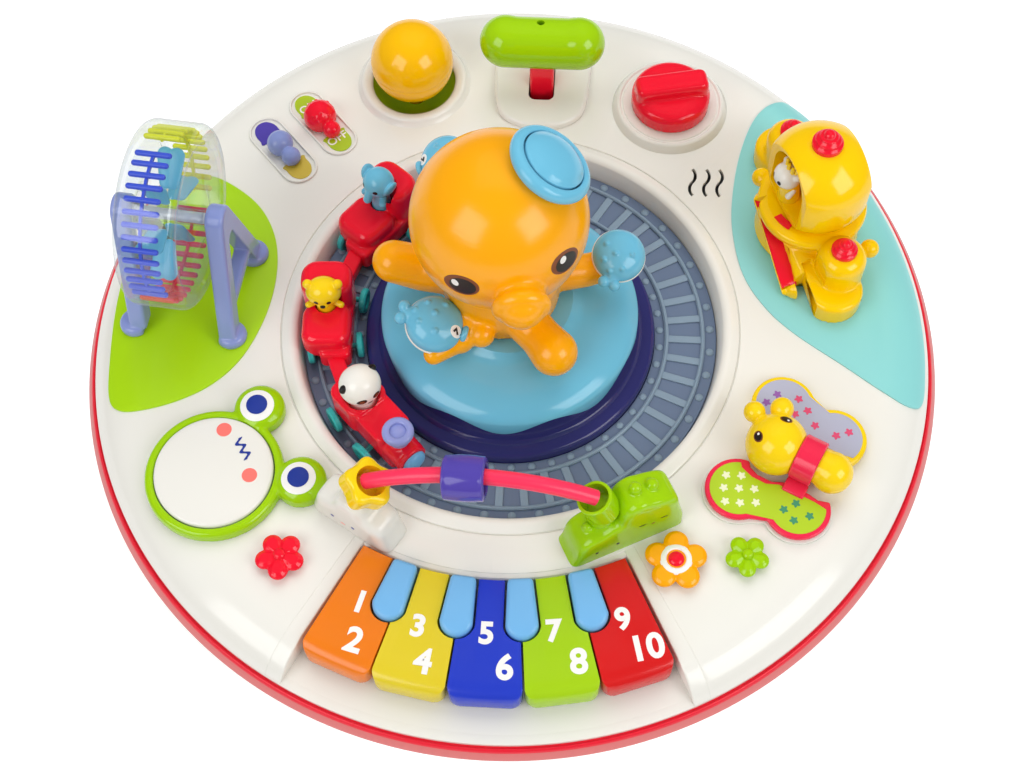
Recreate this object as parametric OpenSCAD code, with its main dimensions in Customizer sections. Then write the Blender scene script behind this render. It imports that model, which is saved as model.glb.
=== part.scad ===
// Musical activity table: a round toy table with a train track round an
// octopus, a nine-key keyboard, a spinning drum, a castle and several knobs.
// Millimetres, +Z up, origin on the floor under the table's centre, keyboard
// towards -Y.

/* [Table] */
// Outer radius of the red rim
rim_r = 235; // [234:0.5:236]
// Height of the deck's flat top above the floor
deck_z = 75; // [74:0.5:76]
// Wall thickness of the deck and the lower housing
wall = 2.5; // [2.25:0.25:2.75]
// Outer radius of the round well in the deck
well_r = 113.6; // [113.4:0.1:114]
// Radius of the feet
foot_r = 9; // [7:0.5:10]

/* [Leg sockets] */
// Radius of the bores that take the removable legs
socket_r = 13; // [12:0.5:14]
// Depth of the leg bores
socket_depth = 38; // [30:1:38]
// Distance of the leg bores from the centre
socket_at = 150; // [148:1:155]

/* [Track and train] */
// Depth of the track floor below the deck
track_drop = 11.3; // [11:0.1:11.5]
// Radius of the inner rail's middle
rail_in = 86.2; // [86:0.1:86.4]
// Radius of the outer rail's middle
rail_out = 106; // [105.8:0.1:106.2]
// Radius of the train's wheels
wheel_r = 7; // [6.5:0.25:7]
// Radius of the circle that the train runs on
train_r = 97.3; // [97:0.1:97.6]
// Radius of the axles
axle_r = 1.5; // [1.25:0.25:1.5]

/* [Keyboard] */
// Angle of one wide key, in degrees
key_step = 10.45; // [10.2:0.05:10.5]
// Radius of the back edge of the keys
key_back = 151; // [150:0.5:152]
// Radius of the front edge of the wide keys
key_front = 213; // [210:1:214]
// Half the angle of the keyboard's recess
recess_half = 29; // [28.5:0.5:30]
// Gap between neighbouring keys
key_gap = 0.8; // [0.6:0.1:1]

/* [Octopus] */
// Radius of the head
head_r = 45; // [44:0.5:46]
// Height of the head's centre above the deck
head_h = 95; // [94:0.5:96]
// Radius of the hat's brim
brim_r = 22.3; // [21.8:0.1:22.6]

/* [Drum] */
// Outer radius of the clear drum
drum_r = 48; // [46:0.5:49]
// Half the width of the drum
drum_half = 13.5; // [13:0.5:14]
// Radius of the drum's axle
drum_axle_r = 3; // [2.5:0.25:3]
// Height of the drum's axle above the deck
drum_h = 75; // [74:0.5:78]

/* [Castle] */
// Largest radius of the turning tower
tower_r = 28.6; // [28:0.1:28.8]
// Half the thickness of the turning tower between its two windows
tower_half = 18.8; // [18.4:0.1:19.2]
// Radius of the tower's pivot
tower_pin_r = 6; // [5:0.5:7]

/* [Knobs and buttons] */
// Radius of the joystick's ball
ball_r = 24; // [23:0.5:24]
// Radius of the rotary knob
knob_r = 23; // [22:0.5:23.5]
// Radius of the frog's pad
frog_r = 31; // [30:0.25:31]
// Radial clearance of a running shaft
run_fit = 0.05; // [0.03:0.01:0.1]
// Clearance round a piece that slides or presses
slide_gap = 0.4; // [0.3:0.05:0.5]

/* [Hidden] */
$fn = 72;
eps = 0.05;

// Colours
WHITE = [0.94, 0.93, 0.9];
RED = [0.9, 0.12, 0.2];
GREEN = [0.6, 0.8, 0.05];
TEAL = [0.57, 0.87, 0.86];
ORANGE = [1, 0.66, 0.02];
CYAN = [0.43, 0.74, 0.87];
NAVY = [0.2, 0.2, 0.45];
LAVENDER = [0.55, 0.6, 0.82];
YELLOW = [0.98, 0.8, 0.05];
SLATE = [0.45, 0.53, 0.65];
PURPLE = [0.36, 0.3, 0.68];
WHEEL = [0.2, 0.72, 0.7];

// Places on the deck, X and Y
joystick_at = [-66.5, 161.5];
lever_at = [9.5, 164];
knob_at = [85, 150];
slider_red_at = [-117.5, 129];
slider_lav_at = [-138.5, 108.5];
slider_turn = -48;
slider_run = 7;
frog_at = [-147.5, -100.7];
frog_eyes_at = [[-128.8, -62], [-102, -102.5]];
flower_red_at = [-107.8, -144.3];
flower_orange_at = [91.6, -136.4];
flower_green_at = [127.3, -131.9];
speaker_at = [106, 97];
drum_at = [-175, 12];
drum_yaw = -5.4;
castle_at = [162, 68];
head_at = [-4, 4];
bear_at = [141.8, -73.8];
bear_turn = -26.3;
screw_angles = [12, 50, 90, 130, 165, 205, 234, 306, 346];
screw_at = 198;
foot_angles = [25, 75, 105, 155, 205, 250, 290, 335];
foot_at = 190;
socket_angles = [45, 135, 225, 315];
board_at = [-10, -40];
battery_at = [0, 95];
pad_t = 0.9;

// Angles of the six axles and of the three cars
axle_angles = [228.1, 214.5, 191, 171.5, 151.5, 133];
car_angles = [224.6, 182.8, 142];

// ---------------------------------------------------------------- helpers

// Points of an arc, from angle a0 to a1 in n steps
function arc(x, y, r, a0, a1, n) =
    [for (i = [0:n]) [x + r * cos(a0 + (a1 - a0) * i / n), y + r * sin(a0 + (a1 - a0) * i / n)]];

// Points of a cubic curve with its two control points
function curve(p, q, r, s, n) =
    [for (i = [0:n]) let (t = i / n, u = 1 - t)
        p * u * u * u + q * 3 * u * u * t + r * 3 * u * t * t + s * t * t * t];

// A point at an angle and a distance
function polar(r, a) = [r * cos(a), r * sin(a)];

module on_deck() { translate([0, 0, deck_z]) children(); }

module at(p, h = 0) { translate([p[0], p[1], h]) children(); }

// Turns +Z to the direction from a to b, starting at a
module along(a, b) {
    v = b - a;
    translate(a) rotate([0, acos(v[2] / norm(v)), atan2(v[1], v[0])]) children();
}

module rod(a, b, r) { along(a, b) cylinder(h = norm(b - a), r = r); }

// A round bar with domed ends of radius ra and rb
module capsule(a, b, ra, rb) {
    len = norm(b - a);
    along(a, b) rotate_extrude()
        polygon(concat(arc(0, 0, ra, -90, 0, 5), arc(0, len, rb, 0, 90, 5)));
}

// A flattened ball: radius r, half thickness h
module lozenge(r, h) {
    rotate_extrude() polygon([for (a = [-90:15:90]) [r * cos(a), h * sin(a)]]);
}

module wedge_ring(r0, r1, a0, a1, z0, z1) {
    rotate([0, 0, a0]) rotate_extrude(angle = a1 - a0)
        translate([r0, z0]) square([r1 - r0, z1 - z0]);
}

// A disc of radius r and height h with its top edge rounded by e
module soft_disc(r, h, e) {
    rotate_extrude() polygon(concat([[0, 0], [r, 0]], arc(r - e, h - e, e, 0, 90, 5), [[0, h]]));
}

// A slot's outline, width w, with its round ends' centres len apart along X
module slot(len, w, h) {
    translate([-len / 2, -w / 2, 0]) cube([len, w, h]);
    for (s = [-1, 1]) translate([s * len / 2, 0, 0]) cylinder(h = h, r = w / 2);
}

// --------------------------------------------------------- deck and housing

// Outer surface of the deck, from the skirt inwards to the well's foot
shoulder_r = rim_r - 32;
deck_outer = concat(
    [[rim_r - 5.6, -17.7], [rim_r - 5.6, -16.6], [rim_r - 6.1, -15.4]],
    curve([rim_r - 6.8, -14.2], [rim_r - 11.6, -8], [rim_r - 20, 0], [shoulder_r, 0], 9),
    [[126, 0], [125.2, -0.8], [124.4, 0]],
    arc(119.6, -2.6, 4.4, 65, 140, 5),
    [[well_r, -12.8]]);
deck_inner = concat(
    [[well_r + wall, -12.8], [118.6, -2], [120, -1], [122, -wall], [shoulder_r, -wall]],
    curve([rim_r - 31, -wall], [rim_r - 21, -wall], [rim_r - 14, -10], [rim_r - 9.4, -16.4], 8),
    [[rim_r - 8.8, -17.7]]);

module top_deck() {
    color(WHITE) on_deck() union() {
        deck_shell();
        for (s = [-1, 1]) difference() {
            translate([lever_at[0] + s * 10 - 1.5, lever_at[1] - 5, lever_pivot - 5])
                cube([3, 10, 31]);
            translate([lever_at[0] - 20, lever_at[1], lever_pivot]) rotate([0, 90, 0])
                cylinder(h = 40, r = 2.5 + run_fit);
        }
    }
}

// The deck's skin with its raised rings, recesses, slots and holes
module deck_shell() {
    difference() {
        union() {
            rotate_extrude() polygon(concat(deck_outer, deck_inner));
            keyboard_pan();
            for (a = screw_angles) rotate([0, 0, a]) translate([screw_at, 0, -29])
                cylinder(h = 27, r = 4.5);
            at(joystick_at, -1) soft_disc(31.5, 5, 2);
            at(knob_at, -1) soft_disc(32, 6, 2.5);
            lever_plate();
            for (p = [slider_red_at, slider_lav_at])
                at(p, -1) rotate([0, 0, slider_turn]) slot(32, 21.5, 2.4);
        }
        wedge_ring(key_back - 5, rim_r + 5, -90 - recess_half, -90 + recess_half, -15, 8);
        for (a = screw_angles) rotate([0, 0, a]) translate([screw_at, 0, -30])
            cylinder(h = 18, r = 1.5);
        at(joystick_at, -10) cylinder(h = 20, r = 27.4);
        at(knob_at, -10) cylinder(h = 20, r = 4 + run_fit);
        at(knob_at, -3) cylinder(h = 5.5, r = 28);
        translate([lever_at[0] - 8, lever_at[1] - 15.6, -10]) cube([16, 31.2, 20]);
        translate([lever_at[0] - 23, lever_at[1] - 22, -3]) cube([46, 42, 5.5]);
        for (p = [slider_red_at, slider_lav_at]) at(p, 0) rotate([0, 0, slider_turn]) {
            slot(32, 19.4, 5);
            translate([0, 0, -10]) slot(2 * slider_run, 5.8, 20);
        }
        at(frog_at, -10) cylinder(h = 20, r = 4 + slide_gap);
        for (p = [flower_red_at, flower_orange_at, flower_green_at])
            at(p, -10) cylinder(h = 20, r = 3 + slide_gap);
        for (x = [-8, 0, 7.5]) at(speaker_at) translate([x, 0, 0]) sound_slot();
    }
}

// The recess that the keys stand in, with the ledge at their back
module keyboard_pan() {
    a = recess_half + 1;
    intersection() {
        rotate_extrude() polygon(concat(deck_outer, [[140, -17.7]]));
        union() {
            wedge_ring(key_back - 7, rim_r, -90 - a, -90 + a, -17.5, -14.9);
            wedge_ring(key_back - 7, key_back - 4.9, -90 - a, -90 + a, -17.5, 0);
            wedge_ring(key_back - 3, key_back + 1.5, -90 - a, -90 + a, -17.5, -10.95);
            for (s = [-1, 1]) rotate([0, 0, s * (recess_half + 0.35)])
                wedge_ring(key_back - 7, rim_r, -90.5, -89.5, -17.5, 0);
        }
    }
}

// Raised plate round the lever's slot, with its round front
module lever_plate() {
    translate([lever_at[0] - 26.5, lever_at[1] - 18, -1]) cube([53, 41, 6]);
    at([lever_at[0] - 12, lever_at[1] - 17.5], -1) soft_disc(14.5, 6, 2);
    at([lever_at[0] + 12, lever_at[1] - 17.5], -1) soft_disc(14.5, 6, 2);
    translate([lever_at[0] - 12, lever_at[1] - 32, -1]) cube([24, 15, 6]);
}

// One wavy sound slot: two arcs that bend opposite ways
module sound_slot() {
    translate([-4.5, 5, 0]) wedge_ring(6, 8, -42, 42, -5, 5);
    translate([6.2, -4, 0]) wedge_ring(6, 8, 138, 222, -5, 5);
}

// Green pad's outline: wide at the back, with its tip towards the front
green_pad_edge = concat(
    arc(-205, -56, 9, 190, 285, 5),
    curve([-185, -62], [-160, -55], [-132, -30], [-132, 10], 6),
    curve([-131, 30], [-131, 55], [-145, 73], [-170, 87], 6),
    curve([-190, 96], [-204, 70], [-219, 40], [-219, 0], 6));
teal_pad_edge = concat(
    curve([150, 158], [128, 142], [120, 100], [121, 68], 7),
    curve([122, 55], [128, 20], [165, -10], [212, -38], 8),
    arc(217, -32, 6, -100, -10, 4),
    curve([224, -10], [230, 60], [205, 120], [165, 150], 8),
    arc(158, 150, 9, 45, 130, 4));

// A coloured skin on the deck inside an outline
module deck_skin(edge) {
    intersection() {
        translate([0, 0, -40]) linear_extrude(60) polygon(edge);
        rotate_extrude() polygon(concat(
            [for (i = [3:12]) deck_outer[i] + [0, pad_t]], [[126, pad_t], [126, eps]],
            [for (i = [12:-1:3]) deck_outer[i] + [0, eps]]));
    }
}

module deck_pads() {
    on_deck() {
        color(GREEN) deck_skin(green_pad_edge);
        color(TEAL) deck_skin(teal_pad_edge);
    }
}

module rim_trim() {
    color(RED) on_deck() rotate_extrude() polygon(concat(
        [[rim_r - 9, -24.9], [rim_r - 2.5, -24.9]],
        arc(rim_r - 2, -22.9, 2, -60, 0, 3), [[rim_r, -21.8], [rim_r - 1.6, -18.6]],
        [[rim_r - 2.6, -17.8], [rim_r - 11.5, -17.8], [rim_r - 11.5, -21]]));
}

// Tray that closes the table from below
module bottom_housing() {
    top = deck_z - 25;
    color(WHITE) difference() {
        union() {
            rotate_extrude() polygon([[0, 3], [204, 3], [212, 6], [222, 20], [228.6, top - 10],
                [rim_r - 2, top], [rim_r - 10, top], [226, top - 9.4], [219.8, 21.2],
                [210.6, 8.2], [203.4, 3 + wall], [0, 3 + wall]]);
            for (a = screw_angles) rotate([0, 0, a]) translate([screw_at, 0, 3])
                cylinder(h = deck_z - 32.2, r = 6.5);
            for (a = socket_angles) rotate([0, 0, a]) translate([socket_at, 0, 3])
                cylinder(h = socket_depth + wall, r = socket_r + wall + 0.5);
            for (a = [0:90:270]) rotate([0, 0, a + 10]) translate([80, 0, 4])
                cylinder(h = deck_z - 20.2, r = 5);
            for (x = [-32, 32], y = [-20, 20]) at(board_at + [x, y], 4) cylinder(h = 27.9, r = 3.5);
            at(battery_at, 3) translate([-26, -31, 0]) cube([52, 62, 21]);
        }
        for (a = screw_angles) rotate([0, 0, a]) translate([screw_at, 0, 0]) {
            cylinder(h = 30, r = 4);
            cylinder(h = deck_z, r = 1.8);
        }
        for (a = socket_angles) rotate([0, 0, a]) translate([socket_at, 0, 0])
            cylinder(h = socket_depth + 3, r = socket_r);
        for (a = foot_angles) rotate([0, 0, a]) translate([foot_at, 0, 2])
            cylinder(h = 2, r = foot_r + 0.2);
        at(battery_at, 2) translate([-23.8, -28.8, 0]) cube([47.6, 57.6, 20]);
    }
}

module rubber_feet() {
    color([0.25, 0.25, 0.28]) for (a = foot_angles) rotate([0, 0, a]) translate([foot_at, 0, 0])
        rotate_extrude()
            polygon([[0, 0], [foot_r - 1, 0], [foot_r, 1], [foot_r, 3.95], [0, 3.95]]);
}

// Case screws, driven from below into the deck's bosses
module housing_screws() {
    color("silver") for (a = screw_angles) rotate([0, 0, a]) translate([screw_at, 0, 0]) {
        translate([0, 0, 27.6]) cylinder(h = 2.35, r = 3.4);
        translate([0, 0, 29]) cylinder(h = deck_z - 43, r = 1.45);
    }
}

module circuit_board() {
    color("darkgreen") at(board_at, 32) {
        translate([-38, -26, 0]) cube([76, 52, 1.6]);
        translate([-12, -10, 1.5]) cube([14, 14, 2]);
        translate([12, 4, 1.5]) cylinder(h = 9, r = 4);
        translate([-28, 6, 1.5]) cube([10, 12, 5]);
    }
}

module speaker() {
    color([0.2, 0.2, 0.2]) on_deck() at(speaker_at) rotate_extrude() polygon([[0, -18],
        [9, -18], [9, -12], [14, -10], [18, -5], [20, -5], [20, -2.6], [17, -2.6], [6, -9], [0, -8]]);
}

module batteries() {
    color([0.75, 0.6, 0.3]) for (x = [-15, 0, 15]) at(battery_at + [x, 0], 14)
        rotate([90, 0, 0]) {
            translate([0, 0, -25]) cylinder(h = 49, r = 7.15);
            translate([0, 0, 24]) cylinder(h = 1.3, r = 2.7);
        }
}

module battery_door() {
    color(WHITE) difference() {
        at(battery_at, 3) translate([-23.5, -28.5, 0]) cube([47, 57, 2.2]);
        for (y = [-20:5:-5]) at(battery_at + [0, y], 2.4) rotate([0, 90, 0])
            translate([-0.4, 0, -12]) cylinder(h = 24, r = 0.8);
    }
}

// -------------------------------------------------------- track and centre

module track_ring() {
    t = -track_drop;
    color(SLATE) on_deck() {
        rotate_extrude() polygon([[79.8, t - wall], [79.8, t], [rail_in - 1.1, t],
            [rail_in - 0.9, t + 1.8], [rail_in + 0.9, t + 1.8], [rail_in + 1.1, t],
            [rail_out - 1.1, t], [rail_out - 0.9, t + 1.8], [rail_out + 0.9, t + 1.8],
            [rail_out + 1.1, t], [well_r - 0.4, t], [well_r - 0.4, -13], [119, -13], [119, -15.5],
            [111, -15.5], [111, t - wall]]);
        for (a = [0:7.5:359]) rotate([0, 0, a]) translate([rail_in + 1, -1.3, t - 0.5])
            cube([rail_out - rail_in - 2, 2.6, 1.3]);
    }
}

module sea_hub() {
    color(NAVY) on_deck() rotate_extrude() polygon(concat(
        [[84, -16], [84, -14], [79.4, -14]], arc(76.4, -8, 3, 0, 80, 4),
        [[72, -4.4], [71.4, -3], [69, -2.6], [67.2, -0.6], [67, 11.8], [64.6, 11.8], [64.6, -3],
        [69, -5.4], [76.6, -8], [76.6, -16]]));
}

// Sea: a dome with a wavy skirt that hangs over the hub
module wave_dome() {
    tips = 8;
    color(CYAN) on_deck() difference() {
        rotate_extrude() polygon(concat(
            [[69.4, 2.4], [69.4, 12]], curve([69, 15.5], [62, 21], [46, 22], [36, 27], 8),
            [[28, 27], [28, 24.8]], curve([35, 24.8], [45, 19.8], [60, 18.6], [66.4, 13.2], 8),
            [[67.4, 12], [67.4, 2.4]]));
        for (i = [0:tips - 1]) rotate([0, 0, -90 + (i + 0.5) * 360 / tips])
            translate([50, 0, -22]) rotate([0, 90, 0]) cylinder(h = 30, r = 32.5);
    }
}

// --------------------------------------------------------------- octopus

head_c = [head_at[0], head_at[1], head_h];
arms = [
    // [start, tip, radius at the start, at the tip]
    [[11, -13, 38.5], [26, -34, 39.5], 10.5, 11.5],
    [[-26, 5, 40.5], [-62, 8, 43.5], 12.2, 10.6],
    [[17, 9, 38.5], [52, 15, 38.5], 10, 7.5],
    [[-17, -14, 38], [-32, -40, 35.5], 9.5, 7],
    [[-18, 22, 38.5], [-38, 50, 53], 9.5, 7]];
snout_c = [8, -33, 92];
snout_to = [10.5, -49, 90.6];

// One arm of the octopus, grown by g
module arm(m, g) {
    along(m[0], m[1]) cylinder(h = norm(m[1] - m[0]), r1 = m[2] + g, r2 = m[3] + g);
    translate(m[1]) sphere(r = m[3] + g + 0.3);
}

module octopus_body() {
    color(ORANGE) on_deck() difference() {
        union() {
            translate(head_c) sphere(r = head_r);
            at(head_at) rotate_extrude() polygon([[0, 27.1], [30.2, 27.1], [31.5, 30], [32, 38],
                [30.5, 48], [29, 60], [0, 75]]);
            for (m = arms) arm(m, 0);
            along(snout_c, snout_to) snout();
        }
        translate(head_c) sphere(r = head_r - wall);
        at(head_at) rotate_extrude() polygon([[0, 20], [26, 20], [28.8, 32], [29.2, 38],
            [27.8, 48], [26.4, 60], [0, 70]]);
    }
}

module snout() {
    rotate_extrude() polygon(concat([[0, 0], [13, 0]], arc(10.4, 11, 4.4, -20, 100, 6),
        [[6, 14.2], [5, 11.6], [0, 11.2]]));
}

fish_at = [
    // [arm that it sits on, centre, direction that its back faces]
    [2, [57, 16, 47], [-0.25, -0.45, 0.85]],
    [3, [-37, -31, 41], [0.2, -0.35, 0.9]],
    [4, [-44, 57, 68], [-0.5, -0.2, 0.7]]];

module octopus_fish() {
    color(CYAN) on_deck() for (f = fish_at) difference() {
        along(f[1], f[1] + f[2]) lozenge(14.6, 7);
        arm(arms[f[0]], eps);
        at(head_at) cylinder(h = 90, r = 32 + eps);
    }
}

hat_dir = [0.537, 0.143, 0.831];
hat_travel = 2;
module on_head() { along(head_c, head_c + hat_dir) translate([0, 0, head_r]) children(); }

module hat_brim() {
    color(CYAN) on_deck() difference() {
        on_head() rotate_extrude() polygon(concat([[0, -6], [17, -6]],
            arc(brim_r - 4, 1.2, 4, -70, 80, 8),
            [[17, 5.1], [17, 1.2], [0, 1.2]]));
        translate(head_c) sphere(r = head_r + eps);
    }
}

module hat_button() {
    color(CYAN) on_deck() on_head() translate([0, 0, 1.6 + hat_travel]) rotate_extrude()
        polygon(concat([[0, 0], [16.5, 0], [16.5, 1.6]],
            curve([16.2, 3], [12.8, 5.8], [6.4, 6.8], [0, 6.8], 6)));
}

// ------------------------------------------------------------------- drum

// The drum's own frame: its axle along Z
module drum_frame() {
    at(drum_at, drum_h) rotate([0, 0, drum_yaw]) rotate([0, 90, 0]) children();
}

module drum_profile(r, half, e) {
    rotate_extrude() polygon(concat([[3.2, -half]], arc(r - e, -half + e, e, -90, 0, 4),
        arc(r - e, half - e, e, 0, 90, 4), [[3.2, half]]));
}

module drum_shell() {
    color([0.85, 0.9, 0.95, 0.35]) on_deck() drum_frame() difference() {
        union() {
            drum_profile(drum_r, drum_half, 4);
            for (s = [-1, 1]) rotate([s < 0 ? 180 : 0, 0, 0]) rotate_extrude()
                polygon([[drum_axle_r + 0.2, 10], [20, 10], [16, drum_half + 2], [8, drum_half + 5.5],
                    [drum_axle_r + 0.2, drum_half + 5.5]]);
        }
        rotate_extrude() polygon([[3, -drum_half + 2], [drum_r - 5, -drum_half + 2],
            [drum_r - 2, -drum_half + 5], [drum_r - 2, drum_half - 5], [drum_r - 5, drum_half - 2],
            [3, drum_half - 2]]);
    }
}

// Coloured comb bands inside the rim: [first angle, last angle, colour]
drum_bands = [[165, 288, [0.25, 0.35, 0.85]], [50, 160, [0.85, 0.9, 0.1]], [293, 405, RED]];
band_step = 7.7;

module drum_insert() {
    r = drum_r - 2.3;
    on_deck() drum_frame() {
        for (b = drum_bands) color(b[2]) {
            wedge_ring(r - 2, r - 0.6, b[0], b[1], -3.2, 3.2);
            for (a = [b[0] + 1:band_step:b[1] - 4]) wedge_ring(r - 2.8, r, a, a + 4, -8, 8);
        }
        color(CYAN) for (i = [0:5]) rotate([0, 0, 40 + 60 * i]) {
            translate([0, 0, -1.5]) rotate([0, 90, 0]) cylinder(h = r - 1.2, r = 1.4);
            translate([23, 0, -5]) slot(9, 11, 7);
        }
        color("silver") translate([0, 0, -27]) cylinder(h = 54, r = drum_axle_r);
    }
}

stand_at = 25;
feet_spread = 26.5;
module drum_stands() {
    color(LAVENDER) for (s = [-1, 1]) on_deck() at(drum_at) rotate([0, 0, drum_yaw]) difference() {
        union() {
            for (t = [-1, 1]) {
                foot = [s * (stand_at + 2), t * feet_spread, 5];
                capsule(foot, [s * stand_at, t * 3, drum_h + 3], 5, 5);
                translate([foot[0], foot[1], pad_t]) soft_disc(8.5, 6, 3);
            }
            rod([s * (stand_at + 1.4), -20, 22], [s * (stand_at + 1.4), 20, 22], 3.4);
            translate([s * stand_at, 0, drum_h]) rotate([0, 90, 0])
                translate([0, 0, -4]) cylinder(h = 8, r = 8.5);
        }
        translate([0, 0, drum_h]) rotate([0, 90, 0]) translate([0, 0, -27.5])
            cylinder(h = 55, r = drum_axle_r + run_fit);
        translate([-60, -60, -20]) cube([120, 120, 20 + pad_t]);
    }
}

// ----------------------------------------------------------------- castle

small_towers = [[15, -35], [-10.5, 42]];
small_r = 13;
tower_face = 203;

module castle_base() {
    color(YELLOW) on_deck() at(castle_at, pad_t + eps) difference() {
        union() {
            rotate_extrude() polygon([[0, 0], [27, 0], [29, 4], [28, 14], [26, 20], [29, 22.5],
                [30, 26], [29, 28.4], [25, 29.4], [0, 29.4]]);
            for (p = small_towers) {
                at(p) cylinder(h = 26, r = small_r);
                at(p, 8) soft_disc(small_r + 0.4, 25, 8);
            }
            at([13, -45]) soft_disc(15.6, 13, 3);
            at([-13, 47]) soft_disc(15.6, 13, 3);
            rod([-3, 20, 9], [-10.5, 42, 9], 7);
            translate([31, -25, 21]) sphere(r = 5.2);
            rod([18, -32, 20], [29.6, -25.6, 20.9], 3.2);
            translate([-27, 17, 24]) sphere(r = 5.4);
            ramp_frame() translate([0, 0, -1]) linear_extrude(11)
                polygon([[0, 0], [0, 3], [46, 25], [52, 22], [54, 0]]);
        }
        translate([0, 0, 10]) cylinder(h = 30, r = tower_pin_r + run_fit);
        translate([0, 0, -1]) cylinder(h = 9, r = 23);
        at([13, -45]) rotate([0, 0, 198]) lobe_niche();
        at([15, -35]) rotate([0, 0, 203]) {
            translate([11.8, -10, 13.5]) cube([6, 20, 16]);
            translate([10, -6.4, 14.5]) cube([6, 12.8, 8]);
        }
    }
}

// Flat side and shallow window of the low round lobe in front
module lobe_niche() {
    translate([13, -12, -1]) cube([6, 24, 16]);
    translate([9.5, -8.5, 2]) cube([6, 17, 8.6]);
}

// Upright frame of the sloping stair beside the tower: X up the slope, Z across
module ramp_frame() { translate([-17, -38, 0]) rotate([0, 0, 108]) rotate([90, 0, 0]) children(); }

// Red roofs of the small towers, the stair and the step at the window
module castle_trim() {
    color(RED) on_deck() at(castle_at, pad_t + eps) {
        for (p = small_towers) at(p, 33.05) roof_cap(7, 9);
        wedge_ring(20.5, 25, 211, 237, 29.45, 30.3);
        difference() {
            ramp_frame() translate([0, 0, 0.6]) linear_extrude(8)
                polygon([[3, 4.5], [44, 24.1], [43.6, 25], [2.6, 5.4]]);
            cylinder(h = 40, r = 30.4);
        }
    }
}

// A stepped red roof: radius r, height h
module roof_cap(r, h) {
    rotate_extrude() polygon([[0, 0], [r, 0], [r, h * 0.22], [r * 0.78, h * 0.4], [r * 0.78, h * 0.52],
        [r * 0.52, h * 0.68], [r * 0.5, h * 0.78], [r * 0.28, h * 0.95], [0, h]]);
}

module castle_tower() {
    color(YELLOW) on_deck() at(castle_at, pad_t + eps) {
        rotate([0, 0, tower_face]) difference() {
            intersection() {
                rotate_extrude() polygon(concat([[0, 30.6], [18, 30.6]],
                    curve([20, 31], [26, 33], [tower_r, 37], [tower_r, 46], 5),
                    curve([tower_r, 60], [tower_r - 2, 68], [18, 75], [8, 79], 7), [[0, 79.4]]));
                translate([-tower_half, -40, 25]) cube([2 * tower_half, 80, 60]);
            }
            for (s = [0, 180]) rotate([0, 0, s]) tower_window();
        }
        translate([0, 0, 10.4]) cylinder(h = 21, r = tower_pin_r);
        for (s = [0, 180]) rotate([0, 0, tower_face + s]) {
            translate([18.5, -7.5, 57.5]) sphere(r = 8);
            translate([15.2, -7, 34]) cylinder(h = 18, r = 5.2);
        }
        translate([0, 0, 79]) roof_cap(8.2, 11);
    }
}

// An arched niche in the tower's side
module tower_window() {
    translate([7, -17, 35.5]) cube([30, 34, 17]);
    translate([7, 0, 52.5]) rotate([0, 90, 0]) cylinder(h = 30, r = 17);
}

// ------------------------------------------------------------------- arch

arch_a = [-57, -117, 44];
arch_b = [48, -121, 44];
arch_rise = 13;
arch_half = norm(arch_b - arch_a) / 2;
arch_r = (arch_half * arch_half + arch_rise * arch_rise) / (2 * arch_rise);
arch_mid = (arch_a + arch_b) / 2;
arch_yaw = atan2(arch_b[1] - arch_a[1], arch_b[0] - arch_a[0]);
arch_end = asin(arch_half / arch_r);
tube_r = 4;
bead_angle = -5;
bead_sag = 3;

// The arch's own frame: its centre at the origin, its plane as XY
module arch_frame() {
    translate([arch_mid[0], arch_mid[1], arch_mid[2] + arch_rise - arch_r])
        rotate([0, 0, arch_yaw]) rotate([90, 0, 0]) children();
}

module arch_tube() {
    color(RED) on_deck() arch_frame() rotate([0, 0, 90 - arch_end])
        rotate_extrude(angle = 2 * arch_end) translate([arch_r, 0]) circle(r = tube_r);
}

module arch_bead() {
    color(PURPLE) on_deck() arch_frame() rotate([0, 0, -bead_angle])
        translate([0, arch_r - bead_sag, 0]) rotate([0, 90, 0]) translate([0, 0, -10.5])
            difference() {
                rotate_extrude() polygon(concat([[0, 0]], arc(8.6, 1.8, 1.8, -90, -10, 3),
                    [[11.2, 10.5]], arc(8.6, 19.2, 1.8, 10, 90, 3), [[0, 21]]));
                translate([0, 0, -1]) cylinder(h = 23, r = 7.6);
            }
}

module cloud_stand() {
    color(WHITE) on_deck() difference() {
        at([-70, -119]) rotate([0, 0, -31]) {
            capsule([-13, 0, 6], [-13, 0, 12], 9.5, 9.5);
            capsule([0, 0, 6], [2, 0, 22], 10, 10);
            capsule([14, 0, 6], [12, 0, 13], 9.5, 9.5);
        }
        translate([-120, -170, -20]) cube([100, 100, 20 + eps]);
    }
}

module star_socket() {
    color(YELLOW) on_deck() difference() {
        union() {
            along([-68, -117, 28], [-63, -117, 38]) cylinder(h = 12, r = 8.6);
            along([-66, -117, 36], [-57, -117, 43.5]) linear_extrude(9) rosette(5, 5, 6.5, 0);
        }
        arch_clear();
        at([-70, -119]) rotate([0, 0, -31]) capsule([0, 0, 6], [2, 0, 22], 10 + eps, 10 + eps);
    }
}

// Room for the tube's end in its sockets
module arch_clear() {
    arch_frame() rotate([0, 0, 88 - arch_end])
        rotate_extrude(angle = 2 * arch_end + 4) translate([arch_r, 0]) circle(r = tube_r + eps);
}

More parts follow.
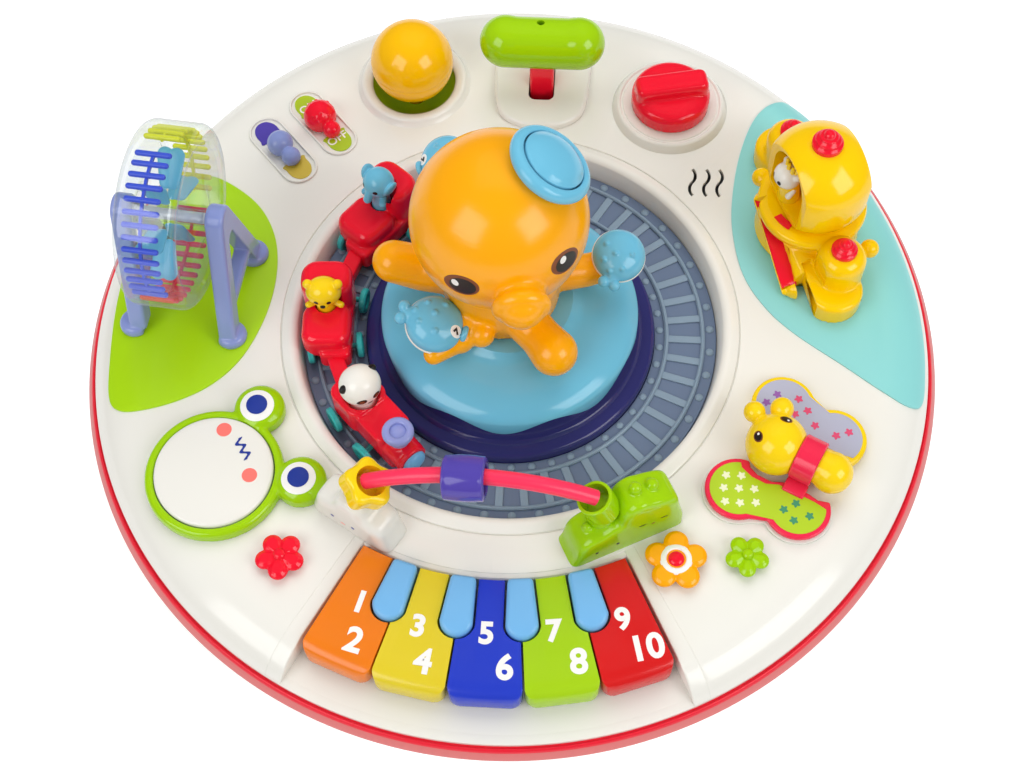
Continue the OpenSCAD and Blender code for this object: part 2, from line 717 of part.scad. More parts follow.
module hill_stand() {
    color([0.6, 0.82, 0.15]) on_deck() difference() {
        union() {
            at([63, -119]) rotate([0, 0, 27]) {
                capsule([-21, 0, 7], [-21, 0, 12], 10, 10);
                capsule([-8, 0, 7], [-8, 0, 17], 10, 10);
                capsule([6, 0, 7], [6, 0, 32], 10.5, 10.5);
                capsule([21, 0, 7], [19, 0, 28], 10, 10);
            }
            rod([52, -121, 18], [51, -121, 32], 6);
            along([54, -121, 30], [48.5, -121, 43.5]) cylinder(h = 11, r = 9.5);
        }
        arch_clear();
        translate([0, -170, -20]) cube([120, 100, 20 + eps]);
    }
}

// ---------------------------------------------------- frog, flowers, book

module frog_frame() {
    color(GREEN) on_deck() difference() {
        union() {
            at(frog_at) soft_disc(36.3, 7, 3);
            for (p = frog_eyes_at) at(p) {
                cylinder(h = 5, r = 13.5);
                translate([0, 0, 4.5]) lozenge(13.5, 7);
            }
        }
        at(frog_at, -1) cylinder(h = 30, r = frog_r + slide_gap);
        translate([-200, -150, -10]) cube([120, 110, 10 + eps]);
    }
}

module frog_pad() {
    color("white") on_deck() at(frog_at) {
        translate([0, 0, 2.4]) soft_disc(frog_r, 6.6, 2);
        translate([0, 0, -12]) cylinder(h = 15, r = 4);
    }
}

// n round petals of radius p at distance d from a round middle, turned by a
module rosette(n, p, d, a) {
    circle(r = d);
    for (i = [0:n - 1]) rotate(a + 360 / n * i) translate([d, 0]) circle(r = p);
}

// A five-petal button
module flower(p, d, a) {
    translate([0, 0, 2.4]) {
        linear_extrude(4) rosette(5, p, d, a);
        translate([0, 0, 3]) cylinder(h = 2, r = d * 0.7);
    }
    translate([0, 0, -12]) cylinder(h = 15, r = 3);
}

module flower_red() { color(RED) on_deck() at(flower_red_at) flower(5, 7.6, -90); }
module flower_orange() { color(ORANGE) on_deck() at(flower_orange_at) flower(6.2, 9.8, 90); }
module flower_green() { color(GREEN) on_deck() at(flower_green_at) flower(4.3, 6.7, -90); }

// The bear's own frame: its body along +X, its axis at Z = 0
bear_h = 14;
bear_body_r = 9.9;
module bear_frame() { at(bear_at, bear_h) rotate([0, 0, bear_turn]) children(); }

page_lobes = [[-7.5, -27.5], [23.8, -22.6]];
lobe_r = 17;

// Two round lobes on one side of the bear, drawn at the deck's level
module page_outline(side, grow) {
    for (c = page_lobes) translate([c[0], side * c[1]]) circle(r = lobe_r + grow);
    translate([-7, side > 0 ? -28 : 14 - grow]) square([31, 14 + grow]);
    translate([8, side > 0 ? -16 : 8]) square([24, 8]);
}

module book_base() {
    color(WHITE) on_deck() translate([0, 0, eps - bear_h]) bear_frame() difference() {
        linear_extrude(1.6) page_outline(1, 1.2);
        translate([0, 0, -1]) cylinder(h = 4, r = 15);
        translate([-20, -15.2, -1]) cube([60, 15.2, 4]);
    }
}

module book_bear() {
    color(YELLOW) on_deck() difference() {
        bear_frame() {
            translate([0, 0, 0.5]) sphere(r = 16.2);
            rotate([0, 90, 0]) cylinder(h = 30, r = bear_body_r);
            translate([31, 0, -1]) sphere(r = 11);
            translate([-6, 18, 4]) sphere(r = 6);
            translate([-17.5, 9, 5]) sphere(r = 5.5);
            translate([0, 0, eps - bear_h]) linear_extrude(5.5) page_outline(-1, 0);
            translate([-4, 8, eps - bear_h]) cube([12, 12, 12]);
            translate([26, 3, eps - bear_h]) cube([8, 12, 12]);
        }
        translate([90, -130, -20]) cube([130, 130, 20 + eps]);
        bear_frame() rotate([0, 90, 0]) translate([0, 0, 11.6]) difference() {
            cylinder(h = 12.8, r = 14.6);
            translate([0, 0, -1]) cylinder(h = 15, r = bear_body_r);
        }
    }
}

module book_page() {
    color(RED) on_deck() bear_frame() difference() {
        union() {
            translate([0, 0, 2.2 - bear_h]) linear_extrude(3) page_outline(1, 0);
            rotate([0, 90, 0]) translate([0, 0, 12]) cylinder(h = 12, r = 12);
            translate([12, -15, -11.8]) cube([12, 10, 6]);
        }
        rotate([0, 90, 0]) translate([0, 0, 10]) cylinder(h = 16, r = bear_body_r + 0.08);
        translate([-40, -14.5, -20]) cube([51.4, 40, 17]);
        translate([24.6, -11.5, -20]) cube([30, 40, 17]);
        translate([0, 0, 0.5]) sphere(r = 18);
    }
}

// --------------------------------------------------- joystick, lever, knobs

stick_h = -18;
module joystick_dish() {
    bowl_h = 18;
    color(GREEN) on_deck() at(joystick_at) {
        difference() {
            union() {
                rotate_extrude() polygon(concat(
                    arc(0, bowl_h, 31.8, -32, -76, 8), arc(0, bowl_h, 30, -76, -34.5, 8)));
                for (s = [-1, 1]) difference() {
                    translate([s * 17 - 2, -5, stick_h - 5]) cube([4, 10, 20]);
                    translate([0, 0, bowl_h]) sphere(r = 30.8);
                }
            }
            translate([-30, 0, stick_h]) rotate([0, 90, 0]) cylinder(h = 60, r = 2 + run_fit);
        }
    }
}

// Ring that carries the stick and lets it lean both ways
module joystick_gimbal() {
    color("silver") on_deck() at(joystick_at, stick_h) difference() {
        union() {
            translate([0, 0, -2.8]) difference() {
                cylinder(h = 5.6, r = 13.4);
                translate([0, 0, -1]) cylinder(h = 8, r = 10.4);
            }
            for (s = [-1, 1]) rotate([0, s * 90, 0]) translate([0, 0, 12]) cylinder(h = 6.8, r = 2);
        }
        rotate([90, 0, 0]) translate([0, 0, -15]) cylinder(h = 30, r = 2 + run_fit);
    }
}

module joystick_ball() {
    color(ORANGE) on_deck() at(joystick_at) {
        translate([0, 0, 20]) sphere(r = ball_r);
        translate([0, 0, stick_h - 4]) cylinder(h = 20, r = 4);
        translate([0, 0, stick_h]) rotate([90, 0, 0]) translate([0, 0, -12.8]) cylinder(h = 25.6, r = 2);
    }
}

// Lever with its cross handle; it rocks about a pin under the deck
lever_pivot = -23;
module t_lever() {
    on_deck() at(lever_at) {
        color(RED) translate([0, 0, lever_pivot]) {
            translate([-7, -6.8, 0]) cube([14, 13.6, 50]);
            rotate([0, 90, 0]) translate([0, 0, -7]) cylinder(h = 14, r = 6.8);
            rotate([0, 90, 0]) translate([0, 0, -12]) cylinder(h = 24, r = 2.5);
        }
        color(GREEN) capsule([-19, 0, 37], [19, 0, 37], 15, 15);
    }
}

module rotary_knob() {
    color(RED) on_deck() at(knob_at) {
        translate([0, 0, 5.4]) soft_disc(knob_r, 12, 3.5);
        translate([0, 0, 12]) intersection() {
            soft_disc(knob_r - 1.5, 13, 5);
            rotate([0, 0, 12]) translate([-knob_r, -7.5, 0]) cube([2 * knob_r, 15, 20]);
        }
        translate([0, 0, -14]) cylinder(h = 20, r = 4);
    }
}

// Slide knob: a ball r1 with a smaller one r2 at distance d towards +X
module slider_knob(r1, r2, d) {
    rotate([0, 0, slider_turn]) {
        difference() {
            union() {
                translate([-2, 0, 5]) sphere(r = r1);
                translate([d - 2, 0, 4]) sphere(r = r2);
                translate([0, -r2 * 0.8, 1.2]) cube([d - 2, r2 * 1.6, 5]);
            }
            translate([-30, -30, -20]) cube([60, 60, 20.6]);
        }
        translate([0, 0, -5.5]) cylinder(h = 8, r = 2.5);
        translate([0, 0, -6]) cylinder(h = 2.4, r = 4.2);
    }
}

module slider_red() { color(RED) on_deck() at(slider_red_at) slider_knob(9.6, 5.2, 11.5); }
module slider_lavender() { color(LAVENDER) on_deck() at(slider_lav_at) slider_knob(7.6, 5.6, 11); }

// --------------------------------------------------------------- keyboard

sharp_offsets = [-16.8, -5.35, 5.35, 16.8];

// A sharp's outline: narrow at the back, with a round front
module sharp_shape(grow, z0, z1) {
    front = 174;
    translate([0, 0, z0]) linear_extrude(z1 - z0) union() {
        translate([front, 0]) circle(r = 8.4 + grow);
        polygon([[key_back - grow, -6.4 - grow], [front, -8.4 - grow],
            [front, 8.4 + grow], [key_back - grow, 6.4 + grow]]);
    }
}

// Wide key number i, from 0 on the left: hollow, open at the bottom
module wide_key(i) {
    mid = -90 + (i - 2) * key_step;
    half = key_step / 2;
    trim = key_gap / 2;
    top = curve([key_front - 11, 3.6], [key_front - 3, 3.2], [key_front, -2], [key_front, -9], 6);
    on_deck() difference() {
        intersection() {
            rotate([0, 0, mid - half - 1]) rotate_extrude(angle = 2 * half + 2)
                polygon(concat([[key_front, -10.6], [key_back, -10.6], [key_back, 3.6]], top));
            rotate([0, 0, mid]) linear_extrude(60, center = true)
                polygon([[40 * cos(half) , 40 * sin(half) - trim], [240 * cos(half), 240 * sin(half) - trim],
                    [240 * cos(half), trim - 240 * sin(half)], [40 * cos(half), trim - 40 * sin(half)]]);
        }
        rotate([0, 0, mid]) translate([0, 0, -20]) linear_extrude(21) intersection() {
            polygon([[30, 30 * tan(half) - 2.4], [220, 220 * tan(half) - 2.4],
                [220, 2.4 - 220 * tan(half)], [30, 2.4 - 30 * tan(half)]]);
            translate([178, -30]) square([key_front - 181, 60]);
        }
        for (a = sharp_offsets) rotate([0, 0, a - 90]) sharp_shape(key_gap + 0.3, -20, 20);
    }
}

module sharp(i) {
    color([0.45, 0.71, 0.92]) on_deck() rotate([0, 0, sharp_offsets[i] - 90]) intersection() {
        sharp_shape(0, -10.6, 9);
        rotate([90, 0, 0]) translate([0, 0, -20]) linear_extrude(40)
            polygon([[key_back - 5, -12], [key_back - 5, 7.6], [key_back + 20, 8], [key_back + 27, 7.2],
                [key_back + 33, 3], [key_back + 33, -12]]);
    }
}

module key_orange() { color([0.92, 0.5, 0.1]) wide_key(0); }
module key_yellow() { color([0.88, 0.8, 0.18]) wide_key(1); }
module key_blue() { color([0.16, 0.25, 0.76]) wide_key(2); }
module key_green() { color(GREEN) wide_key(3); }
module key_red() { color(RED) wide_key(4); }
module sharp_1() { sharp(0); }
module sharp_2() { sharp(1); }
module sharp_3() { sharp(2); }
module sharp_4() { sharp(3); }

// ------------------------------------------------------------------ train

track_top = -track_drop;
axle_h = track_top + wheel_r + 0.1;

// A frame on the track: X outwards, Y along the way round
module on_track(a, h = 0) {
    on_deck() rotate([0, 0, a]) translate([train_r, 0, track_top + h]) children();
}

// A rounded car body: length l, width w, from height z0 to z1
module car_block(l, w, z0, z1, e) {
    translate([-w / 2, 0, 0]) rotate([0, 90, 0]) rotate([0, 0, 90]) linear_extrude(w)
        polygon(concat([[-l / 2, z0], [l / 2, z0]], arc(l / 2 - e, z1 - e, e, 0, 90, 5),
            arc(e - l / 2, z1 - e, e, 90, 180, 5)));
}

// Bores for the axles of one car
module axle_bores() {
    for (a = axle_angles) on_deck() rotate([0, 0, a]) translate([train_r - 25, 0, axle_h])
        rotate([0, 90, 0]) cylinder(h = 50, r = axle_r + run_fit);
}

// [across the track, along the track, height, radius] of each rider's head,
// with the radius of its body
riders = [[-3.5, -13, 36.3, 10.2, 8], [2, -4, 37.8, 7.6, 6], [3, -5.5, 44.3, 8, 6]];
seat_floor = 19;

module train_cars() {
    color(RED) difference() {
        union() {
            on_track(car_angles[0]) engine();
            on_track(car_angles[1]) wagon(1.5, 38);
            on_track(car_angles[2]) wagon(3, 39.5);
            link(195, 213.5);
            link(154, 172.5);
        }
        axle_bores();
        for (i = [0:2]) on_track(car_angles[i]) seat_cut(riders[i], i > 0);
    }
}

// Engine: cab, hood, boiler and the collar under the chimney
module engine() {
    translate([-3.1, 1, 0]) car_block(46, 17.4, 4, 17.5, 3);
    translate([-3.5, -14, 0]) car_block(24, 23, 14.8, 28, 7);
    translate([-3.5, 5, 0]) car_block(18, 22.8, 14.9, 25.2, 4);
    translate([-3.5, 31, 16]) rotate([90, 0, 0]) cylinder(h = 19, r = 8.8);
    translate([-3.5, 20.5, 16]) cylinder(h = 9, r = 5.4);
}

// Wagon with a low hood in front of a high back: offset x, height h
module wagon(x, h) {
    translate([-3.1, 1.7, 0]) car_block(45.5, 17.4, 4, 17.5, 3);
    translate([x, 7.5, 0]) car_block(27, 27, 14.8, 25, 8);
    translate([x, -14, 0]) car_block(22, 28, 14.9, h, 8);
}

// Straight link between two cars
module link(a0, a1) {
    p = polar(train_r, a0);
    q = polar(train_r, a1);
    on_deck() at(p, track_top + 6) rotate([0, 0, atan2(q[1] - p[1], q[0] - p[0])])
        translate([0, -4.5, 0]) cube([norm(q - p), 9, 8]);
}

// Recess in a car for a rider's body, and above it for the head
module seat_cut(m, head) {
    translate([m[0], m[1], seat_floor]) cylinder(h = 40, r = m[4] + 0.4);
    if (head) translate([m[0], m[1], m[2] - m[3] - 2.2]) cylinder(h = 40, r = m[3] + 0.4);
}

// Panda, bear cub and elephant, with the engine's chimney and lamp
module train_riders() {
    for (i = [0:2]) color(i == 0 ? "white" : i == 1 ? YELLOW : CYAN) on_track(car_angles[i])
        translate([riders[i][0], riders[i][1], 0]) {
            translate([0, 0, seat_floor + 0.1])
                cylinder(h = riders[i][2] - riders[i][3] - 15, r = riders[i][4]);
            translate([0, 0, riders[i][2]]) sphere(r = riders[i][3]);
        }
    color(LAVENDER) on_track(car_angles[0]) translate([-3.5, 0, 0]) {
        translate([0, 20.5, 25.05]) cylinder(h = 9, r = 5);
        translate([0, 20.5, 32]) rotate_extrude() translate([5.2, 0]) circle(r = 2.4);
        translate([0, 31.1, 16]) rotate([-90, 0, 0]) soft_disc(7, 4, 2);
    }
}

// One wheel set: two wheels on an axle
module wheel_set(i) {
    color(WHEEL) on_deck() rotate([0, 0, axle_angles[i]]) translate([0, 0, axle_h]) rotate([0, 90, 0]) {
        translate([0, 0, train_r - 15.5]) cylinder(h = 28, r = axle_r);
        translate([0, 0, 80.8]) cylinder(h = 3.6, r = wheel_r);
        translate([0, 0, 107.6]) cylinder(h = 3.6, r = wheel_r);
    }
}

module wheels_1() { wheel_set(0); }
module wheels_2() { wheel_set(1); }
module wheels_3() { wheel_set(2); }
module wheels_4() { wheel_set(3); }
module wheels_5() { wheel_set(4); }
module wheels_6() { wheel_set(5); }

bottom_housing();
rim_trim();
top_deck();
deck_pads();
rubber_feet();
housing_screws();
track_ring();
sea_hub();
wave_dome();
octopus_body();
octopus_fish();
hat_brim();
hat_button();
drum_stands();
drum_shell();
drum_insert();
castle_base();
castle_trim();
castle_tower();
cloud_stand();
star_socket();
hill_stand();
arch_tube();
arch_bead();
frog_frame();
frog_pad();
flower_red();
flower_orange();
flower_green();
book_base();
book_bear();
book_page();
joystick_dish();
joystick_gimbal();
joystick_ball();
t_lever();
rotary_knob();
slider_red();
slider_lavender();
key_orange();
key_yellow();
key_blue();
key_green();
key_red();
sharp_1();
sharp_2();
sharp_3();
sharp_4();
train_cars();
train_riders();
wheels_1();
wheels_2();
wheels_3();
wheels_4();
wheels_5();
wheels_6();
circuit_board();
speaker();
batteries();
battery_door();
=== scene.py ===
"""Dresses the musical activity table for rendering.

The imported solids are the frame. Each sub-assembly is a class that builds its
own pieces in millimetres, gives them their finishes and makes them ride on the
body that carries them.
"""

import logging
import math
from dataclasses import dataclass
from enum import Enum
from typing import Callable, Iterable, Sequence

import bpy
from mathutils import Matrix, Vector

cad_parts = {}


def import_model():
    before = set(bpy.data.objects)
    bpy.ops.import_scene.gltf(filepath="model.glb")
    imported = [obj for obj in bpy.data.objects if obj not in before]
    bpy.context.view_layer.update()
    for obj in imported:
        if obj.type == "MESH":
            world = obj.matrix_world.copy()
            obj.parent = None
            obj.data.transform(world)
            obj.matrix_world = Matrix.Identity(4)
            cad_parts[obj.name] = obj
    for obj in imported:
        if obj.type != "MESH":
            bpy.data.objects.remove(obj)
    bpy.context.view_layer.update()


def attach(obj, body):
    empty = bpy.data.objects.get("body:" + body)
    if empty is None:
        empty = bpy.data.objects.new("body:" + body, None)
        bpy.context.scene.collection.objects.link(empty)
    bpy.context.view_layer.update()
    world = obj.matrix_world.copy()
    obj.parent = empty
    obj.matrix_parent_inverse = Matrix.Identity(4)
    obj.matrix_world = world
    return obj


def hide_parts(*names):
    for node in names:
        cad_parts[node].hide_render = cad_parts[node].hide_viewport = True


LOG = logging.getLogger("table")
Piece = bpy.types.Object
MM = 0.001
DECK = 75.0
SLIDE_TURN = -48.0
Point = Sequence[float]


# ---------------- modelling


def only(*objs: Piece) -> Piece:
    """Selects these objects and nothing else; the first becomes active.

    Args:
        objs: The objects to select.

    Returns:
        The first object.
    """
    clear()
    for obj in objs:
        obj.select_set(True)
    bpy.context.view_layer.objects.active = objs[0]
    return objs[0]


def clear() -> None:
    """Leaves edit mode and deselects everything, so that a new primitive stands alone."""
    if bpy.context.mode != "OBJECT":
        bpy.ops.object.mode_set(mode="OBJECT")
    bpy.ops.object.select_all(action="DESELECT")


def modify(obj: Piece, kind: str, **settings: object) -> Piece:
    """Adds a modifier and applies it.

    Args:
        obj: The object to change.
        kind: The modifier's type.
        settings: The modifier's settings.

    Returns:
        The same object.
    """
    only(obj)
    modifier = obj.modifiers.new(kind.title(), kind)
    for key, value in settings.items():
        setattr(modifier, key, value)
    bpy.ops.object.modifier_apply(modifier=modifier.name)
    return obj


def soften(obj: Piece, width: float, segments: int, angle: float = 50) -> None:
    """Rounds the edges sharper than an angle in degrees, by a width in mm."""
    modify(obj, "BEVEL", width=width * MM, segments=segments, limit_method="ANGLE", angle_limit=math.radians(angle))


def settle(obj: Piece, name: str, angle: float = 35.0) -> Piece:
    """Names a piece, writes its place into its mesh and smooths it by angle.

    Args:
        obj: The finished piece.
        name: Its name.
        angle: Faces that meet at less than this many degrees shade smoothly.

    Returns:
        The same object.
    """
    only(obj)
    obj.name = name
    obj.data.name = name
    bpy.ops.object.transform_apply(location=True, rotation=True, scale=True)
    bpy.ops.object.shade_smooth_by_angle(angle=math.radians(angle))
    return obj


def place(obj: Piece, matrix: Matrix) -> Piece:
    """Moves a piece by a matrix given in metres and writes it into the mesh."""
    obj.data.transform(matrix)
    if matrix.determinant() < 0:
        obj.data.flip_normals()
    return obj


def moved(x: float, y: float, z: float = 0) -> Matrix:
    """Gives the matrix of a shift in mm."""
    return Matrix.Translation((x * MM, y * MM, z * MM))


def rotated(degrees: float, axis: str = "Z") -> Matrix:
    """Gives the matrix of a turn in degrees about one axis."""
    return Matrix.Rotation(math.radians(degrees), 4, axis)


def frame_at(origin: Point, normal: Point = (0, 0, 1), turn: float = 0.0) -> Matrix:
    """Makes the matrix of a frame whose Z is a direction.

    Args:
        origin: The frame's origin in millimetres.
        normal: The direction of its Z.
        turn: Degrees that it is turned about that Z.

    Returns:
        The matrix, in metres.
    """
    z = Vector(normal).normalized()
    side = Vector((0, 0, 1)).cross(z)
    x = side.normalized() if side.length > 1e-4 else Vector((1, 0, 0))
    y = z.cross(x)
    turned_frame = Matrix((x, y, z)).transposed().to_4x4()
    return Matrix.Translation(Vector(origin) * MM) @ turned_frame @ rotated(turn)


def join(parts: Iterable[Piece], name: str) -> Piece:
    """Joins pieces into one object."""
    parts = list(parts)
    only(*parts)
    if len(parts) > 1:
        bpy.ops.object.join()
    obj = bpy.context.view_layer.objects.active
    obj.name = name
    return obj


def ball(centre: Point, radius: float, stretch: Point = (1, 1, 1), matrix: Matrix | None = None) -> Piece:
    """Adds a ball, which may be stretched along its own axes.

    Args:
        centre: Its centre in millimetres, in the matrix's frame.
        radius: Its radius in millimetres.
        stretch: Factors along X, Y and Z.
        matrix: The frame that it is given in.

    Returns:
        The new object.
    """
    clear()
    rows = 12 if radius < 4 else 20 if radius < 20 else 40
    bpy.ops.mesh.primitive_uv_sphere_add(segments=2 * rows, ring_count=rows, radius=radius * MM)
    obj = bpy.context.object
    obj.data.transform(Matrix.Diagonal((*stretch, 1)))
    obj.data.transform(Matrix.Translation(Vector(centre) * MM))
    if matrix is not None:
        obj.data.transform(matrix)
    return obj


def bar(a: Point, b: Point, ra: float, rb: float | None = None, flat: float = 1.0, caps: bool = True) -> Piece:
    """Adds a round bar between two points, with domed ends.

    Args:
        a: One end in millimetres.
        b: The other end.
        ra: The radius at the first end.
        rb: The radius at the other end, the same if left out.
        flat: A factor on its thickness across its own local X.
        caps: Whether its ends are domed.

    Returns:
        The new object.
    """
    rb = ra if rb is None else rb
    start, end = Vector(a), Vector(b)
    length = (end - start).length
    clear()
    bpy.ops.mesh.primitive_cone_add(
        vertices=32, radius1=ra * MM, radius2=rb * MM, depth=length * MM, location=(0, 0, length * MM / 2)
    )
    obj = bpy.context.object
    bpy.ops.object.transform_apply(location=True, rotation=True, scale=True)
    parts = [obj]
    if caps:
        parts += [ball((0, 0, 0), ra), ball((0, 0, length), rb)]
    obj = join(parts, "bar")
    obj.data.transform(Matrix.Diagonal((flat, 1, 1, 1)))
    return place(obj, frame_at(a, end - start))


def loop_of(points: Sequence[Point], filled: bool = False) -> Piece:
    """Adds a ring of edges through points, from a circle with as many corners.

    Args:
        points: The points in millimetres, with two or three numbers each.
        filled: Whether the ring holds one face.

    Returns:
        The new object.
    """
    clear()
    bpy.ops.mesh.primitive_circle_add(vertices=len(points), fill_type="NGON" if filled else "NOTHING")
    obj = bpy.context.object
    for vertex, point in zip(obj.data.vertices, points):
        vertex.co = Vector((point[0], point[1], point[2] if len(point) > 2 else 0.0)) * MM
    return obj


def edit(obj: Piece) -> None:
    """Opens a piece in edit mode with everything selected."""
    only(obj)
    bpy.ops.object.mode_set(mode="EDIT")
    bpy.ops.mesh.select_all(action="SELECT")


def close_edit(outwards: bool = True) -> None:
    """Leaves edit mode, with the faces pointing outwards if that is asked for."""
    if outwards:
        bpy.ops.mesh.select_all(action="SELECT")
        bpy.ops.mesh.normals_make_consistent(inside=False)
    bpy.ops.object.mode_set(mode="OBJECT")


def turned(name: str, profile: Sequence[Point], steps: int = 128, sweep: float = 360.0, start: float = 0.0) -> Piece:
    """Spins a closed profile round Z, like work on a lathe.

    Args:
        name: The object's name.
        profile: Corners as (radius, height) in millimetres.
        steps: The number of steps round.
        sweep: Degrees that it spins.
        start: The angle where it starts.

    Returns:
        The new object.
    """
    obj = loop_of([(r, 0.0, z) for r, z in profile], filled=sweep < 360)
    edit(obj)
    bpy.ops.mesh.spin(steps=steps, angle=math.radians(sweep), center=(0, 0, 0), axis=(0, 0, -1))
    bpy.ops.mesh.select_all(action="SELECT")
    bpy.ops.mesh.remove_doubles(threshold=2e-6)
    bpy.ops.mesh.dissolve_degenerate(threshold=1e-6)
    close_edit()
    obj.data.transform(rotated(start))
    obj.name = name
    return obj


def cylinder(radius: float, low: float, high: float, steps: int) -> Piece:
    """Makes a plain upright cylinder, for a pin or a bore."""
    return turned("cylinder", [(0, low), (radius, low), (radius, high), (0, high)], steps)


def plate(name: str, outline: Sequence[Point], low: float, high: float, soft: float = 0.0) -> Piece:
    """Extrudes an outline into a plate, with softened edges.

    Args:
        name: The object's name.
        outline: Corners as (x, y) in millimetres.
        low: The height of its underside.
        high: The height of its top.
        soft: The width of its bevelled edges.

    Returns:
        The new object.
    """
    obj = loop_of([(x, y, low) for x, y in outline], filled=True)
    edit(obj)
    bpy.ops.mesh.extrude_region_move(TRANSFORM_OT_translate={"value": (0, 0, (high - low) * MM)})
    close_edit()
    obj.name = name
    if soft:
        soften(obj, soft, 4, 40)
    return obj


def block(size: Point, centre: Point, soft: float = 0.0, turn: float = 0.0) -> Piece:
    """Adds a box with softened edges, turned about Z at its centre."""
    clear()
    bpy.ops.mesh.primitive_cube_add(size=MM)
    obj = bpy.context.object
    obj.data.transform(Matrix.Diagonal((*size, 1)))
    if soft:
        modify(obj, "BEVEL", width=soft * MM, segments=5, limit_method="NONE")
    return place(obj, frame_at(centre, turn=turn))


def carve(obj: Piece, *cutters: Piece, keep: str = "DIFFERENCE") -> Piece:
    """Cuts shapes out of a piece, or keeps only what it shares with them.

    Args:
        obj: The piece to cut.
        cutters: The shapes, which are used up.
        keep: The boolean operation.

    Returns:
        The cut piece.
    """
    for cutter in cutters:
        modify(obj, "BOOLEAN", object=cutter, operation=keep, solver="EXACT")
        bpy.data.objects.remove(cutter, do_unlink=True)
    return obj


def fuse(name: str, parts: Iterable[Piece], grain: float, rounds: int = 6, cuts: Sequence[Piece] = ()) -> Piece:
    """Melts shapes into one skin with soft inner corners.

    Args:
        name: The object's name.
        parts: The shapes, which are used up.
        grain: The size of the skin's faces in millimetres.
        rounds: How often the skin is relaxed.
        cuts: Shapes that are cut out before the relaxing.

    Returns:
        The fused piece.
    """
    obj = join(parts, name)
    modify(obj, "REMESH", mode="VOXEL", voxel_size=grain * MM, adaptivity=0.0)
    carve(obj, *cuts)
    if rounds:
        modify(obj, "SMOOTH", factor=0.5, iterations=rounds)
    return obj


def cleaned(obj: Piece) -> Piece:
    """Merges doubles and makes the faces point outwards."""
    edit(obj)
    bpy.ops.mesh.remove_doubles(threshold=2e-6)
    close_edit()
    return obj


def printed(obj: Piece, on: Piece, matrix: Matrix, lift: float = 0.12, reach: float = 30.0) -> Piece:
    """Lays a flat shape on a surface, like a print or a thin moulded inlay.

    Args:
        obj: A flat shape in its own XY plane.
        on: The piece that it lies on.
        matrix: The frame that it is thrown from, along minus Z.
        lift: How far it stands off the surface.
        reach: How far it may travel, in millimetres.

    Returns:
        The laid shape, with a little thickness.
    """
    only(obj)
    bpy.ops.object.transform_apply(location=True, rotation=True, scale=True)
    obj.matrix_world = matrix
    modify(
        obj, "SHRINKWRAP", target=on, wrap_method="PROJECT", use_project_x=False, use_project_y=False,
        use_project_z=True, use_negative_direction=True, use_positive_direction=False,
        project_limit=reach * MM, offset=lift * MM,
    )
    modify(obj, "SOLIDIFY", thickness=0.2 * MM, offset=-1.0)
    return obj


def disc(rx: float, ry: float, rings: int = 4, corners: int = 40) -> Piece:
    """Adds a flat ellipse with rings inside it, so that it can be bent."""
    obj = loop_of(
        [(rx * math.cos(i * math.tau / corners), ry * math.sin(i * math.tau / corners)) for i in range(corners)], True
    )
    edit(obj)
    for _ in range(rings):
        bpy.ops.mesh.inset(thickness=min(rx, ry) * MM / (rings + 1))
    close_edit(outwards=False)
    return obj


def words(text: str, height: float, fat: float = 0.0) -> Piece:
    """Adds flat plain characters, centred, fine enough to be bent.

    Args:
        text: The characters.
        height: Their height in millimetres.
        fat: How much thicker than the font they are, in millimetres.

    Returns:
        The new mesh object.
    """
    clear()
    bpy.ops.object.text_add()
    obj = bpy.context.object
    obj.data.body = text
    obj.data.align_x, obj.data.align_y = "CENTER", "CENTER"
    obj.data.size = height * MM * 1.35
    obj.data.offset = fat * MM
    obj.data.resolution_u = 6
    bpy.ops.object.convert(target="MESH")
    obj = bpy.context.object
    edit(obj)
    bpy.ops.mesh.remove_doubles(threshold=2e-6)
    bpy.ops.mesh.quads_convert_to_tris()
    bpy.ops.mesh.subdivide(number_cuts=2)
    close_edit(outwards=False)
    return obj


def polar(r: float, degrees: float) -> tuple[float, float]:
    """Gives the point at a distance from the middle, in a direction."""
    return r * math.cos(math.radians(degrees)), r * math.sin(math.radians(degrees))


def arc(x: float, y: float, r: float, first: float, last: float, steps: int) -> list[tuple[float, float]]:
    """Gives points of an arc, from one angle to another, in degrees."""
    angles = [math.radians(first + (last - first) * i / steps) for i in range(steps + 1)]
    return [(x + r * math.cos(a), y + r * math.sin(a)) for a in angles]


def curve(p: Point, q: Point, r: Point, s: Point, steps: int) -> list[tuple[float, float]]:
    """Gives points of a cubic curve with two control points."""
    found = []
    for i in range(steps + 1):
        t, u = i / steps, 1 - i / steps
        found.append(
            tuple(u**3 * a + 3 * u * u * t * b + 3 * u * t * t * c + t**3 * d for a, b, c, d in zip(p, q, r, s))
        )
    return found


def smoothed(points: Sequence[Point], steps: int = 6) -> list[tuple[float, float]]:
    """Gives a closed smooth outline through a few points.

    Args:
        points: The points that it passes.
        steps: New points for each stretch.

    Returns:
        The outline's points.
    """
    found = []
    count = len(points)
    for i in range(count):
        a, b, c, d = (points[(i + k) % count] for k in (-1, 0, 1, 2))
        for j in range(steps):
            t = j / steps
            found.append(tuple(
                0.5 * (2 * b[k] + (c[k] - a[k]) * t + (2 * a[k] - 5 * b[k] + 4 * c[k] - d[k]) * t * t
                       + (3 * b[k] - a[k] - 3 * c[k] + d[k]) * t**3)
                for k in (0, 1)))
    return found


# ---------------- finishes


class Shine(Enum):
    """How polished the mould was, as the plastic's roughness."""

    GLOSS = 0.13
    GLOW = 0.21
    SATIN = 0.3
    MATT = 0.55
    PRINT = 0.4


